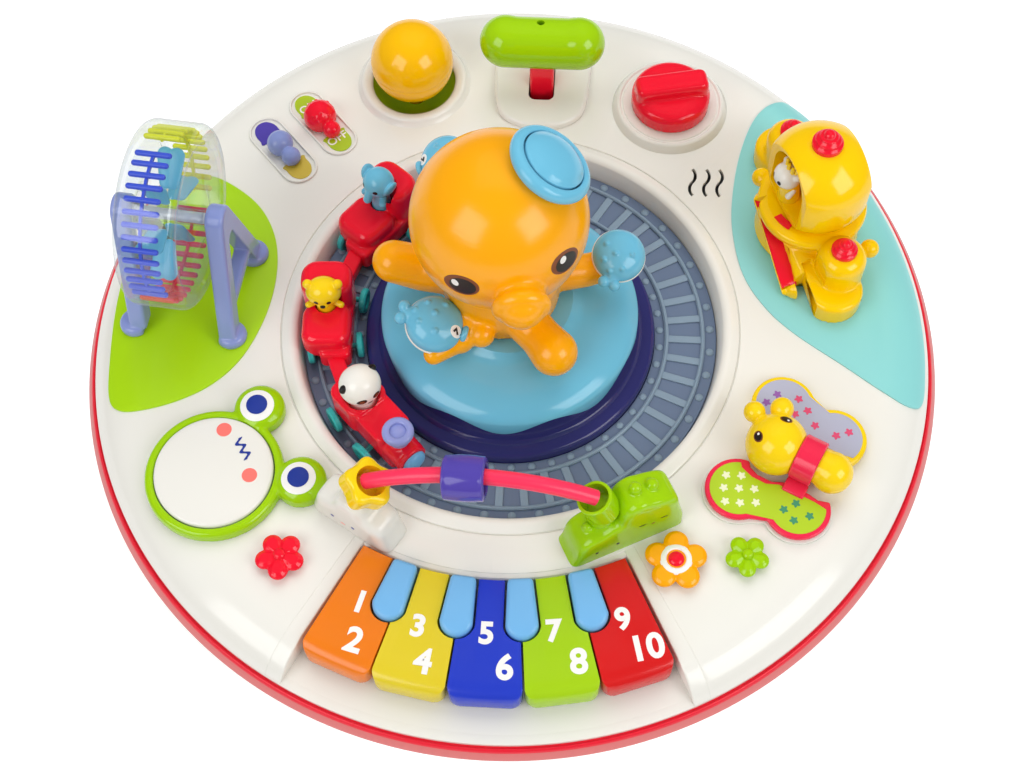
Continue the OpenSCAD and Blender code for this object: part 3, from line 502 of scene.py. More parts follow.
def moulding_group() -> bpy.types.NodeTree:
    """Builds the shader group that all moulded plastic shares.

    Returns:
        A group that gives a slightly clouded colour, a smudged roughness and
        a fine height from the surface's own coordinates.
    """
    found = bpy.data.node_groups.get("moulding")
    if found:
        return found
    tree = bpy.data.node_groups.new("moulding", "ShaderNodeTree")
    sockets = tree.interface
    sockets.new_socket("Colour", in_out="INPUT", socket_type="NodeSocketColor")
    for label, value in (
        ("Roughness", 0.2), ("Cloud", 0.03), ("Smudge", 0.05), ("Grain Scale", 900.0), ("Grain", 1.0)
    ):
        sockets.new_socket(label, in_out="INPUT", socket_type="NodeSocketFloat").default_value = value
    sockets.new_socket("Colour", in_out="OUTPUT", socket_type="NodeSocketColor")
    sockets.new_socket("Roughness", in_out="OUTPUT", socket_type="NodeSocketFloat")
    sockets.new_socket("Height", in_out="OUTPUT", socket_type="NodeSocketFloat")
    nodes, link = tree.nodes, tree.links.new
    given, out = nodes.new("NodeGroupInput"), nodes.new("NodeGroupOutput")
    spot = nodes.new("ShaderNodeTexCoord")

    def noise(scale: float, detail: float) -> bpy.types.Node:
        """Adds a noise that reads the piece's own coordinates."""
        node = nodes.new("ShaderNodeTexNoise")
        fill(node, {"Scale": scale, "Detail": detail})
        link(spot.outputs["Object"], node.inputs["Vector"])
        return node

    def maths(kind: str, first: object, second: object) -> bpy.types.NodeSocket:
        """Adds a sum or product of two sockets or numbers."""
        node = nodes.new("ShaderNodeMath")
        node.operation = kind
        for socket, value in zip(node.inputs, (first, second)):
            if isinstance(value, bpy.types.NodeSocket):
                link(value, socket)
            else:
                socket.default_value = value
        return node.outputs[0]

    cloud, smudge = noise(26.0, 3.0), noise(70.0, 5.0)
    grain = noise(900.0, 2.0)
    link(given.outputs["Grain Scale"], grain.inputs["Scale"])
    shade = maths("ADD", 1.0, maths("MULTIPLY", maths("SUBTRACT", cloud.outputs["Fac"], 0.5), given.outputs["Cloud"]))
    tint = nodes.new("ShaderNodeVectorMath")
    tint.operation = "SCALE"
    link(given.outputs["Colour"], tint.inputs[0])
    link(shade, tint.inputs["Scale"])
    link(tint.outputs[0], out.inputs["Colour"])
    rough = maths(
        "ADD", given.outputs["Roughness"],
        maths("MULTIPLY", maths("SUBTRACT", smudge.outputs["Fac"], 0.45), given.outputs["Smudge"])
    )
    link(rough, out.inputs["Roughness"])
    link(maths("MULTIPLY", grain.outputs["Fac"], given.outputs["Grain"]), out.inputs["Height"])
    return tree


def fill(node: bpy.types.Node, values: dict[str, object]) -> None:
    """Sets inputs of a node by their names."""
    for label, value in values.items():
        node.inputs[label].default_value = value


def moulded(nodes: bpy.types.Nodes, link: Callable, values: dict[str, object]) -> tuple[bpy.types.Node, ...]:
    """Puts the shared plastic group before the shader and gives both."""
    shader, group = nodes["Principled BSDF"], nodes.new("ShaderNodeGroup")
    group.node_tree = moulding_group()
    fill(group, values)
    link(group.outputs["Colour"], shader.inputs["Base Color"])
    link(group.outputs["Roughness"], shader.inputs["Roughness"])
    return shader, group


def linear(colour: Point) -> tuple[float, float, float, float]:
    """Turns a screen colour from 0 to 255 into a linear colour."""
    steps = [c / 255.0 for c in colour]
    return tuple(c / 12.92 if c <= 0.04045 else ((c + 0.055) / 1.055) ** 2.4 for c in steps) + (1.0,)


class Finish:
    """A finish: it makes its material once and dresses pieces with it.

    Attributes:
        name: The finish's name.
        slot: The slot that it belongs to; not used.
    """

    name: str
    slot: str

    def shade(self, nodes: bpy.types.Nodes, link: Callable) -> None:
        """Fills the new material's node tree."""
        raise NotImplementedError

    def build(self) -> bpy.types.Material:
        """Makes the material, or gives the one made before."""
        found = bpy.data.materials.get(self.name)
        if found:
            return found
        material = bpy.data.materials.new(self.name)
        material.use_nodes = True
        self.shade(material.node_tree.nodes, material.node_tree.links.new)
        return material

    def dress(self, obj: Piece) -> Piece:
        """Gives a piece this finish."""
        obj.data.materials.clear()
        obj.data.materials.append(self.build())
        return obj


@dataclass(frozen=True)
class Plastic(Finish):
    """A moulded plastic.

    Attributes:
        name: The finish's name.
        colour: Its colour on a screen, from 0 to 255.
        shine: How polished it is.
        cloud: How much its colour varies.
        grain: How deep its fine texture is, in millimetres.
        glow: How far light goes under its surface, as a weight.
        slot: The slot that it belongs to; not used.
    """

    name: str
    colour: tuple[int, int, int]
    shine: Shine = Shine.GLOSS
    cloud: float = 0.05
    grain: float = 0.01
    glow: float = 0.0
    slot: str = "white_plastic"

    def shade(self, nodes: bpy.types.Nodes, link: Callable) -> None:
        """Mixes the moulded plastic: clouded colour, smudged shine, fine grain."""
        shader, group = moulded(nodes, link, {
            "Colour": linear(self.colour), "Roughness": self.shine.value, "Cloud": self.cloud, "Smudge": 0.06
        })
        bump = nodes.new("ShaderNodeBump")
        fill(bump, {"Strength": 0.35, "Distance": self.grain * MM})
        link(group.outputs["Height"], bump.inputs["Height"])
        link(bump.outputs["Normal"], shader.inputs["Normal"])
        shader.inputs["IOR"].default_value = 1.5
        if self.glow:
            fill(shader, {
                "Subsurface Weight": self.glow, "Subsurface Radius": (1.0, 0.8, 0.6), "Subsurface Scale": 2.5 * MM
            })


@dataclass(frozen=True)
class Clear(Finish):
    """A clear plastic, such as the drum's shell."""

    name: str
    tint: tuple[int, int, int]
    slot: str

    def shade(self, nodes: bpy.types.Nodes, link: Callable) -> None:
        """Mixes the clear plastic: see-through in front; towards its edges a lit whitish layer paints the reflection
        of the white surroundings, and a gloss layer reflects the lamps.
        """
        nodes.remove(nodes["Principled BSDF"])
        sheer, painted_edge_reflection, gloss = (nodes.new("ShaderNodeBsdf" + kind) for kind in ("Transparent", "Diffuse", "Glossy"))
        sheer.inputs["Color"].default_value = linear(self.tint)
        # Painted reflection: this whitish colour stands in for the white surroundings reflected at the shell's
        # grazing edges.
        painted_edge_reflection.inputs["Color"].default_value = linear((206, 212, 220))
        gloss.inputs["Roughness"].default_value = 0.08
        slant = nodes.new("ShaderNodeLayerWeight")
        slant.inputs["Blend"].default_value = 0.5
        layer = sheer
        for coat, power, most, least in ((painted_edge_reflection, 5.0, 0.62, 0.02), (gloss, 3.0, 0.34, 0.09)):
            rise, level, blend = (nodes.new("ShaderNode" + kind) for kind in ("Math", "MapRange", "MixShader"))
            rise.operation = "POWER"
            rise.inputs[1].default_value = power
            fill(level, {"To Min": least, "To Max": most})
            link(slant.outputs["Facing"], rise.inputs[0])
            link(rise.outputs[0], level.inputs["Value"])
            link(level.outputs["Result"], blend.inputs[0])
            link(layer.outputs[0], blend.inputs[1])
            link(coat.outputs[0], blend.inputs[2])
            layer = blend
        link(layer.outputs[0], nodes["Material Output"].inputs["Surface"])


WHITE = Plastic("white_case", (236, 234, 226), Shine.GLOSS, 0.02, 0.008)
RED = Plastic("red", (246, 22, 48), slot="red_plastic")
ROSE = Plastic("rose_red", (240, 44, 78), slot="red_plastic")
RIM_RED = Plastic("rim_red", (236, 22, 48), Shine.SATIN, slot="red_plastic")
# Painted reflection: the lower rim band is red plastic like the lip; this pale salmon stands in for the white
# surroundings reflected at a grazing angle.
RIM_PAINTED_REFLECTION = Plastic("rim_painted_reflection", (222, 118, 116), Shine.SATIN, slot="red_plastic")
LIME = Plastic("lime", (160, 208, 8), slot="green_plastic")
PAD_GREEN = Plastic("pad_green", (172, 220, 0), Shine.SATIN, slot="pad_plastic")
PAD_TEAL = Plastic("pad_teal", (142, 214, 212), Shine.SATIN, slot="pad_plastic")
DISH_GREEN = Plastic("dish_green", (140, 172, 10), Shine.SATIN, slot="green_plastic")
OLIVE = Plastic("tab_olive", (172, 196, 30), Shine.SATIN, slot="green_plastic")
OCHRE = Plastic("tab_ochre", (204, 178, 64), Shine.SATIN, slot="yellow_plastic")
AMBER = Plastic("amber", (255, 172, 0), Shine.GLOW, slot="orange_plastic")
BALL_YELLOW = Plastic("ball_yellow", (252, 190, 4), slot="orange_plastic")
SEA = Plastic("sea_blue", (112, 190, 220), slot="cyan_plastic")
NAVY = Plastic("navy", (48, 48, 108), slot="navy_plastic")
SLATE = Plastic("slate", (134, 154, 172), Shine.SATIN, 0.1, 0.02, slot="track_plastic")
SLATE_DARK = Plastic("slate_dark", (106, 122, 148), Shine.SATIN, 0.1, 0.02, slot="track_plastic")
LAVENDER = Plastic("lavender", (140, 154, 210), slot="lavender_plastic")
LILAC = Plastic("lilac", (150, 160, 220), slot="lavender_plastic")
YELLOW = Plastic("castle_yellow", (255, 207, 0), slot="yellow_plastic")
BEAR_YELLOW = Plastic("bear_yellow", (250, 212, 20), slot="yellow_plastic")
PURPLE = Plastic("bead_purple", (84, 70, 168), slot="purple_plastic")
TUBE = Plastic("tube_rose", (255, 52, 92), Shine.SATIN, slot="red_plastic")
WHEEL = Plastic("wheel_teal", (52, 182, 180), Shine.SATIN, slot="wheel_plastic")
SKY = Plastic("key_sky", (118, 184, 234), Shine.SATIN, slot="sky_plastic")
BLACK = Plastic("black_print", (22, 20, 22), Shine.PRINT, 0.02, slot="rider_plastic")
BROWN = Plastic("brown_print", (128, 66, 30), Shine.PRINT, 0.04, slot="rider_plastic")
INK_WHITE = Plastic("white_print", (246, 244, 240), Shine.PRINT, 0.02)
PANDA_WHITE = Plastic("panda_white", (240, 238, 230), Shine.GLOSS, 0.02, slot="rider_plastic")
BLUSH = Plastic("blush_print", (250, 120, 110), Shine.PRINT, slot="rider_plastic")
EYE_BLUE = Plastic("eye_blue", (30, 54, 150), Shine.PRINT, slot="rider_plastic")
BAND_BLUE = Plastic("band_blue", (52, 84, 222), Shine.SATIN, slot="band_plastic")
BAND_YELLOW = Plastic("band_yellow", (232, 236, 30), Shine.SATIN, slot="band_plastic")
BAND_RED = Plastic("band_red", (232, 40, 66), Shine.SATIN, slot="band_plastic")
PADDLE = Plastic("paddle_blue", (104, 190, 224), Shine.SATIN, slot="band_plastic")
SHELL = Clear("drum_clear", (250, 252, 252), "clear_plastic")
AXLE = Plastic("axle_grey", (204, 208, 214), slot="clear_plastic")
RUBBER = Plastic("foot_rubber", (40, 40, 42), Shine.MATT, 0.1, 0.04, slot="dark_rubber")
BOARD = Plastic("board_green", (20, 84, 40), Shine.SATIN, 0.15, 0.03, slot="board_laminate")
CONE = Plastic("speaker_black", (26, 26, 28), Shine.MATT, 0.1, 0.04, slot="speaker_black")
SLEEVE = Plastic("battery_sleeve", (190, 140, 50), Shine.SATIN, 0.05, slot="battery_label")


@dataclass(frozen=True)
class Steel(Finish):
    """Plated or turned steel for screws and pins."""

    name: str = "plated_steel"
    slot: str = "screw_steel"

    def shade(self, nodes: bpy.types.Nodes, link: Callable) -> None:
        """Mixes the steel, with a smudged roughness."""
        shader, _ = moulded(nodes, link, {"Colour": (0.6, 0.6, 0.62, 1.0), "Roughness": 0.3, "Grain Scale": 2400.0})
        fill(shader, {"Metallic": 1.0})


def ready(obj: Piece, name: str, finish: Finish, body: str, *nodes: str, angle: float = 35.0) -> Piece:
    """Finishes a piece: name, place, smoothing, material, body and nodes.

    Args:
        obj: The piece.
        name: Its name.
        finish: What it is made of.
        body: The body that it rides on.
        nodes: The solids that it stands for.
        angle: The smoothing angle in degrees.

    Returns:
        The same object.
    """
    settle(obj, name, angle)
    finish.dress(obj)
    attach(obj, body)
    if nodes:
        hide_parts(*nodes)
    LOG.info("%s rides on %s", name, body)
    return obj


# ---------------- deck, housing


def deck_profile() -> tuple[list[tuple[float, float]], list[tuple[float, float]]]:
    """Gives the deck's outer and inner profile, as radius and height above it."""
    outer = [(229.4, -17.7), (229.4, -15.2)]
    outer += curve((229.2, -14.4), (225.5, -7.5), (217, 0), (202, 0), 16)
    outer += [(127, 0), (125.7, -0.1), (125.4, -1.1), (124.9, -1.1), (124.6, 0.1), (123.8, 0.5)]
    outer += arc(119.6, -2.6, 4.4, 62, 146, 10) + [(113.6, -12.8)]
    inner = [(116.1, -12.8), (118.6, -3.4), (121, -2.5), (202, -2.5)]
    inner += curve((204, -2.5), (214, -2.5), (221, -10), (225.6, -16.4), 8) + [(226.2, -17.7)]
    return outer, inner


@dataclass
class Deck:
    """The white deck, its raised rings, coloured skins and the housing.

    Attributes:
        recess_half: Half the angle of the keyboard's recess.
        skin: How proud the coloured skins stand.
    """

    recess_half: float = 29.0
    skin: float = 0.9

    def build(self) -> None:
        """Builds every piece of the deck and the case."""
        self.deck()
        self.skins()
        self.rim()
        self.rings()
        self.housing()

    def shape(self, first: float, last: float, low: float, high: float, near: float, far: float) -> Piece:
        """Makes a sector of a ring as a cutter."""
        return turned("cutter", [(near, low), (far, low), (far, high), (near, high)], 40, last - first, first)

    def deck(self) -> None:
        """Builds the deck's shell with its recesses, holes and slots."""
        outer, inner = deck_profile()
        obj = turned("deck", [(r, z + DECK) for r, z in outer + inner], 256)
        a = self.recess_half
        cutters = [self.shape(-90 - a, -90 + a, 60, 90, 146, 240)]
        for (x, y), r in (((-66.5, 161.5), 27.4), ((85, 150), 28.0), ((-147.5, -100.7), 4.4)):
            cutters.append(place(cylinder(r, 60, 85, 64), moved(x, y)))
        cutters.append(block((16, 31.2, 20), (9.5, 164, 75)))
        for shift in (-8.0, 0.0, 7.5):
            for dx, dy, first in ((-4.5, 5.0, -42), (6.2, -4.0, 138)):
                bend = turned("cutter", [(6.1, 70), (7.9, 70), (7.9, 80), (6.1, 80)], 14, 84, first)
                cutters.append(place(bend, moved(106 + shift + dx, 97 + dy)))
        carve(obj, *cutters)
        pan = turned("pan", [
            (144, 57.5), (227, 57.4), (229.2, 58.0), (228.4, 59.9), (224, 60), (149.2, 60), (149.2, 73.6),
            (148.4, 74.4), (144, 74.4)
        ], 60, 2 * a + 2, -91 - a)
        wall = [(144, 57.5), (229, 57.5)] + [(r, z + DECK - 0.05) for r, z in outer[2:19]] + [(144, 74.95)]
        ends = [turned("end", wall, 8, 2.4, s) for s in (-90.1 - a, -92.3 + a)]
        for end in ends:
            soften(end, 1.4, 3)
        soften(obj, 0.9, 3)
        ready(join([obj, pan, *ends], "deck"), "deck_shell", WHITE, "table", "top_deck", angle=40)

    def skins(self) -> None:
        """Builds the green and teal skins that follow the deck's surface."""
        outer, _ = deck_profile()
        top = [(r, z + DECK) for r, z in outer[3:19]] + [(127, DECK)]
        band = [
            (r + (self.skin * 0.5 if r > 205 else 0), z + self.skin) for r, z in top
        ] + [(r, z - 0.05) for r, z in reversed(top)]
        green = smoothed([
            (-207, -63), (-196, -64.5), (-176, -58), (-157, -46), (-143, -28), (-134, -2), (-131.5, 24),
            (-135, 47), (-145, 66), (-160, 79.5), (-178, 88), (-196, 84), (-210, 60), (-217, 30), (-218.5, 0),
            (-216, -35), (-213, -55)
        ])
        teal = smoothed([
            (158, 159), (148, 158), (135, 144), (126, 118), (121.5, 88), (121.5, 64), (127, 37), (139, 16),
            (155, 0), (180, -18), (202, -34), (214, -39.5), (222.5, -36), (225.5, -20), (226, 8), (222, 40),
            (212, 74), (196, 108), (176, 142)
        ])
        for name, outline, finish, nodes in (
            ("green_skin", green, PAD_GREEN, ("deck_pads",)), ("teal_skin", teal, PAD_TEAL, ())
        ):
            obj = carve(turned(name, band, 256), plate("cutter", outline, 40, 90), keep="INTERSECT")
            soften(obj, 0.45, 2)
            ready(obj, name, finish, "table", *nodes, angle=40)

    def rim(self) -> None:
        """Builds the red lip with its thin grooves and the band under it, whose paler salmon colour is painted
        reflection.
        """
        lip = [(223.6, 57), (223.6, 53), (232.6, 53), (232.5, 55.4), (231.6, 57), (231.2, 57.2), (230.6, 57.1)]
        lip += [(230.1, 56.6), (229.6, 56.6), (229.4, 57)]
        ready(turned("lip", lip, 256), "rim_lip", RIM_RED, "table", "rim_trim")
        # The band's pale colour is painted reflection of the white surroundings, not a paler plastic.
        band = [(226, 50.2), (234.6, 50.2), (235, 50.8), (234.5, 52.9), (232.5, 55.3), (226, 52.5)]
        ready(turned("band", band, 256), "rim_band", RIM_PAINTED_REFLECTION, "table")

    def rings(self) -> None:
        """Builds the raised rings round the joystick, knob, lever and slides."""
        ring = [
            (24.4, 75.6), (24.4, 76.5), (24.8, 77.1), (26.2, 78.2)
        ] + arc(29.2, 76.6, 2.2, 105, 10, 6) + [(33.4, 75.05), (33.4, 74), (28, 74)]
        obj = place(turned("ring", ring, 96), moved(-66.5, 161.5))
        ready(obj, "joystick_ring", WHITE, "table")
        step = [
            (4.05, 78), (4.05, 80), (27.4, 80), (27.8, 79.4), (28.6, 79.4)
        ] + arc(29.4, 77.8, 2.2, 90, 15, 6) + [(33.6, 75.05), (33.6, 74), (28, 74), (28, 78)]
        obj = place(turned("ring", step, 96), moved(85, 150))
        ready(obj, "knob_ring", WHITE, "table")
        outline = smoothed([
            (-16.5, 189), (9.5, 191), (35.5, 189), (37.5, 165), (34, 141), (22, 131.5), (9.5, 130), (-3, 131.5),
            (-15, 141), (-18.5, 165)
        ])
        obj = plate("lever_plate", outline, 74, 80, 2.4)
        slot = [(-7.5, 15.6)] + arc(-3.5, -11.6, 4, 180, 270, 5) + arc(3.5, -11.6, 4, 270, 360, 5) + [(7.5, 15.6)]
        hollow = place(plate("cutter", slot, 60, 90), moved(9.5, 164))
        carve(obj, hollow, block((44, 50, 2), (9.5, 164, 74.2)))
        ready(obj, "lever_surround", WHITE, "table")
        for name, (x, y), finishes in (
            ("red", (-117.5, 129), (OLIVE, OLIVE)), ("lavender", (-138.5, 108.5), (PURPLE, OCHRE))
        ):
            edge, hole = (
                [
                    (16 + p, q) for p, q in arc(0, 0, r, -90, 90, 16)
                ] + [(p - 16, q) for p, q in arc(0, 0, r, 90, 270, 16)]
                for r in (10.75, 9.5)
            )
            obj = carve(plate("slide", edge, -1, 1.4, 0.6), plate("cutter", hole, 0.05, 5))
            soften(obj, 0.4, 2)
            place(obj, frame_at((x, y, DECK), turn=SLIDE_TURN))
            ready(obj, f"{name}_slide_ring", WHITE, "table")
            for end, finish in zip((-1, 1), finishes):
                half = [(24.2, 0), (22.8, 4.0), (18.5, 6.6), (13, 6.8), (9.9, 6.6)]
                tab = smoothed([(end * x, y) for x, y in half] + [(end * x, -y) for x, y in reversed(half[1:])], 3)
                obj = place(plate("tab", tab, 0.05, 0.5, 0.15), frame_at((x, y, DECK), turn=SLIDE_TURN))
                ready(obj, f"{name}_slide_tab_{'a' if end < 0 else 'b'}", finish, "table")
                if name == "red":
                    obj = words("ON" if end < 0 else "OFF", 5.4, 0.1)
                    base = frame_at((x, y, DECK + 0.46), turn=SLIDE_TURN)
                    place(obj, base @ moved(end * 14.6, 0) @ rotated(90))
                    modify(obj, "SOLIDIFY", thickness=0.1 * MM, offset=1.0)
                    ready(obj, f"switch_word_{'on' if end < 0 else 'off'}", INK_WHITE, "table")

    def housing(self) -> None:
        """Dresses the lower case and what is inside it."""
        for node, finish in (
            ("bottom_housing", WHITE), ("battery_door", WHITE), ("rubber_feet", RUBBER), ("circuit_board", BOARD),
            ("speaker", CONE), ("batteries", SLEEVE)
        ):
            finish.dress(bpy.data.objects[node])
        for node in ("housing_screws", "joystick_gimbal"):
            Steel().dress(bpy.data.objects[node])


# ---------------- track and sea


@dataclass
class Track:
    """The ring track, the navy hub and the wavy sea.

    Attributes:
        floor: Height of the track's floor.
        rails: Radii of the two rails.
        sleepers: How many sleepers lie round.
        waves: How many waves the sea's skirt has.
    """

    floor: float = DECK - 11.3
    rails: tuple[float, float] = (86.2, 106.0)
    sleepers: int = 48
    waves: int = 8

    def build(self) -> None:
        """Builds the track, hub and sea."""
        f = self.floor
        base = turned("base", [
            (79.8, f - 2.5), (79.8, f), (113.2, f), (113.2, f - 1.7), (119, f - 1.7), (119, f - 4.2),
            (111, f - 4.2), (111, f - 2.5)
        ], 192)
        ready(base, "track_floor", SLATE_DARK, "table", "track_ring")
        parts = []
        for r in self.rails:
            parts.append(
                turned(
                    "rail",
                    [
                        (r - 1.1, f - 0.3), (r - 1.1, f + 1.3)
                    ] + arc(r, f + 1.1, 0.9, 170, 10, 6) + [(r + 1.1, f + 1.3), (r + 1.1, f - 0.3)],
                    192
                )
            )
        for i in range(self.sleepers):
            a = i * 360 / self.sleepers
            parts.append(block((18.2, 4.2, 1.1), (*polar(96.1, a), f + 0.4), 0.35, a))
        ready(join(parts, "rails"), "track_rails", SLATE, "table")
        stones = []
        for i in range(self.sleepers):
            for r, size in ((82.4, 1.9), (110.0, 2.1)):
                at = (*polar(r, (i + 0.5) * 360 / self.sleepers), f)
                stones.append(ball(at, size, (1.1, 1.1, 0.55)))
        ready(join(stones, "stones"), "track_stones", SLATE, "table")
        hub = [
            (84, 59), (84, 61), (79.4, 61)
        ] + arc(76.4, 67, 3, 0, 80, 6) + [(72.4, 70.4), (71.6, 71.6)] + arc(70.2, 71.8, 0.9, 60, 100, 3)
        hub += [(68, 73.4), (67.2, 74.8), (67, 87.8), (64.6, 87.8), (64.6, 72), (69, 69.6), (76.6, 67), (76.6, 59)]
        ready(turned("hub", hub, 192), "sea_base", NAVY, "table", "sea_hub")
        self.sea()

    def sea(self) -> None:
        """Builds the sea: a dome whose skirt hangs down in waves."""
        top = curve((69.3, 87), (69, 90.8), (61, 96), (47, 97.2), 12) + curve(
            (43, 97.6), (38, 98.2), (36.5, 100), (34, 102), 6
        ) + [(24, 102), (24, 99.8)]
        under = curve((34, 99.8), (45, 95), (60, 93.6), (66.4, 88.2), 8) + [(67.3, 87), (67.3, 77), (69.4, 77)]
        obj = turned("sea", top + under, 256)
        for vertex in obj.data.vertices:
            x, y, z = vertex.co / MM
            if z < 77.2:
                turn = (math.atan2(y, x) + math.pi / 2) * self.waves
                vertex.co.z = (82.1 - 4.6 * math.cos(turn)) * MM
        soften(obj, 0.5, 3)
        ready(obj, "sea_waves", SEA, "table", "wave_dome")


# ---------------- octopus


@dataclass
class Octopus:
    """The octopus on its sea, with its fish and its hat.

    Attributes:
        head: The head's centre.
        radius: The head's radius.
        hat_way: The direction that the hat faces.
    """

    head: tuple[float, float, float] = (-4.0, 4.0, 170.0)
    radius: float = 45.0
    hat_way: tuple[float, float, float] = (0.537, 0.143, 0.831)

    def build(self) -> None:
        """Builds body, face, fish and hat."""
        body = self.body()
        self.face(body)
        self.fish((57, 16, 122), (0.12, -0.3, 0.9), 74, "right")
        self.fish((-36.4, -28, 118), (0.22, -0.2, 0.95), -12, "left", 1.09)
        self.fish((-36, 57, 143), (-0.3, -0.2, 0.8), 192, "back")
        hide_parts("octopus_fish")
        self.hat()

    def body(self) -> Piece:
        """Builds the octopus in one soft skin.

        Returns:
            The body, for the prints on it.
        """
        x, y, _ = self.head
        parts = [
            ball(self.head, self.radius),
            bar((x, y, 102.2), (x, y, 124), 30.6, 32, caps=False),
            bar((x, y, 124), (x, y, 142), 32, 30, caps=False),
            bar((6, -16, 113), (18, -29, 112), 12, 11), bar((18, -29, 112), (25.5, -38.5, 113), 11, 12.4),
            bar((-20, 6, 114.5), (-46, 8, 114.5), 13.4, 12.2), bar((-46, 8, 114.5), (-61, 8.5, 119), 12.2, 11.4),
            bar((16, 8, 113), (40, 13, 111), 11, 9), bar((40, 13, 111), (51, 15, 114), 9, 8.2),
            bar((-14, -12, 113), (-24, -30, 109), 11.6, 8.6), bar((-24, -30, 109), (-36.5, -41, 109.3), 7.6, 5.4),
            bar((-16, -18, 112), (-12.5, -29, 112), 9, 7.2),
            bar((-16, 20, 113), (-28, 42, 118), 10.5, 8.5), bar((-28, 42, 118), (-34, 50, 130), 8.5, 7.5),
        ]
        root, way = Vector((8.0, -33, 167)), Vector((2.5, -16.0, -1.4)).normalized()
        parts.append(bar(root, root + way * 9, 13.2, 12.8))
        lip = turned(
            "lip",
            [(0, -4)] + arc(10.4, -0.2, 4.4, -80, 96, 14) + curve((9.4, 3.9), (7.4, 3.6), (6.2, 1.4), (0, 0.9), 8), 64
        )
        parts.append(place(lip, frame_at(root + way * 11.1, way)))
        obj = fuse("octopus", parts, 0.95, 6)
        return ready(obj, "octopus_skin", AMBER, "table", "octopus_body")

    def face(self, body: Piece) -> None:
        """Prints the eyes.

        Args:
            body: The skin that they lie on.
        """
        centre = Vector(self.head)
        for side, spot, turn in (("left", (-18.6, -34.6, 173.6), 20), ("right", (29.5, -23.5, 177.5), -26)):
            way = (Vector(spot) - centre).normalized()
            base = frame_at(centre + way * (self.radius + 10), way, turn)
            for part, size, shift, finish, lift in (
                ("rim", (9.7, 7.1), (0, 0), BROWN, 0.05), ("pupil", (7.3, 5.6), (0.6, -0.4), BLACK, 0.12),
                ("glint", (2.0, 2.2), (-2.7, 1.9), INK_WHITE, 0.2),
            ):
                shape = disc(*size)
                shape.data.transform(moved(shift[0], shift[1]))
                printed(shape, body, base, lift)
                ready(shape, f"eye_{side}_{part}", finish, "table")

    def fish(self, centre: Point, up: Point, heading: float, name: str, grow: float = 1.0) -> None:
        """Builds one round fish with spots, a pale belly, a tail and an eye.

        Args:
            centre: Its centre.
            up: The way that its back faces.
            heading: The direction of its mouth, in degrees from X.
            name: The end of its pieces' names.
            grow: Its size against the others'.
        """
        side = math.degrees(math.atan2(up[0], -up[1]))
        base = frame_at(centre, up, heading - side) @ Matrix.Scale(grow, 4)
        top = [(0, -0.8)] + curve((13.9, -0.8), (14.3, 4.6), (9.5, 9.0), (0, 9.4), 14)
        parts = [turned("back", top, 72), bar((-6, 0, 1.2), (-14.5, 0, 1.2), 7, 2.6)]
        parts += [ball((-16.4, t * 3.0, 1.4), 3.1) for t in (-1, 1)]
        for x, y in ((-2, 2.6), (-6.6, 7), (-8, -3.4), (1.6, 8.6), (0.6, -5.6), (-11, 2)):
            h = 0.2 + 8.8 * math.sqrt(max(0.0, 1 - (x * x + y * y) / 196))
            parts.append(ball((x, y, h - 0.1), 1.6))
        obj = place(fuse(f"fish_{name}", parts, 0.5, 3), base)
        ready(obj, f"fish_{name}", SEA, "table")
        belly = turned(
            "belly",
            [(0, -6.4)] + curve((7, -6.4), (12.6, -5.2), (14.3, -2.6), (14.3, -1.2), 8) + [(13.7, -0.5), (0, -0.5)],
            72
        )
        ready(place(belly, base), f"fish_{name}_belly", PANDA_WHITE, "table")
        if name == "right":
            return
        lips = turned("lips", arc(2.9, 0, 1.5, -90, 90, 8) + [(1.6, 1.2), (1.6, -1.2)], 32)
        place(lips, base @ frame_at((14.4, 0, 1), (1, 0, 0)))
        ready(lips, f"fish_{name}_lips", SEA, "table")
        ready(
            place(disc(2.4, 2.4, 1, 24), base @ frame_at((14.3, 0, 1), (1, 0, 0))), f"fish_{name}_mouth", BLACK,
            "table"
        )
        mark = [(-1.2, 1.1), (1.3, 1.3), (0, -1.7), (-0.9, -1.4), (0.2, 0.4), (-1.2, 0.3)]
        for part, shape, finish, lift in (
            ("eye", disc(2.9, 2.9, 2, 24), INK_WHITE, 0.1), ("mark", loop_of(mark, True), BLACK, 0.3)
        ):
            printed(shape, obj, base @ frame_at((10.2, -2.0, 20), turn=60), lift)
            ready(shape, f"fish_{name}_{part}", finish, "table")

    def hat(self) -> None:
        """Builds the hat's brim and its pressed top."""
        base = frame_at(Vector(self.head) + Vector(self.hat_way).normalized() * self.radius, self.hat_way)
        brim = [(0, -5), (16.9, -5.4)] + arc(18.3, 1.1, 3.95, -70, 80, 14)
        brim += arc(17.9, 4.2, 0.8, 80, 180, 4) + [(17.05, 1.3), (0, 1.3)]
        obj = carve(place(turned("brim", brim, 96), base), ball(self.head, self.radius - 0.3))
        ready(obj, "hat_rim", SEA, "table", "hat_brim")
        top = [(0, 3.7), (16.3, 3.7)] + arc(15.7, 5.0, 0.7, 0, 70, 3) + curve(
            (15.6, 5.8), (12.4, 9.2), (6.4, 10.2), (0, 10.2), 10
        )
        ready(place(turned("top", top, 96), base), "hat_top", SEA, "hat", "hat_button")


# ---------------- drum


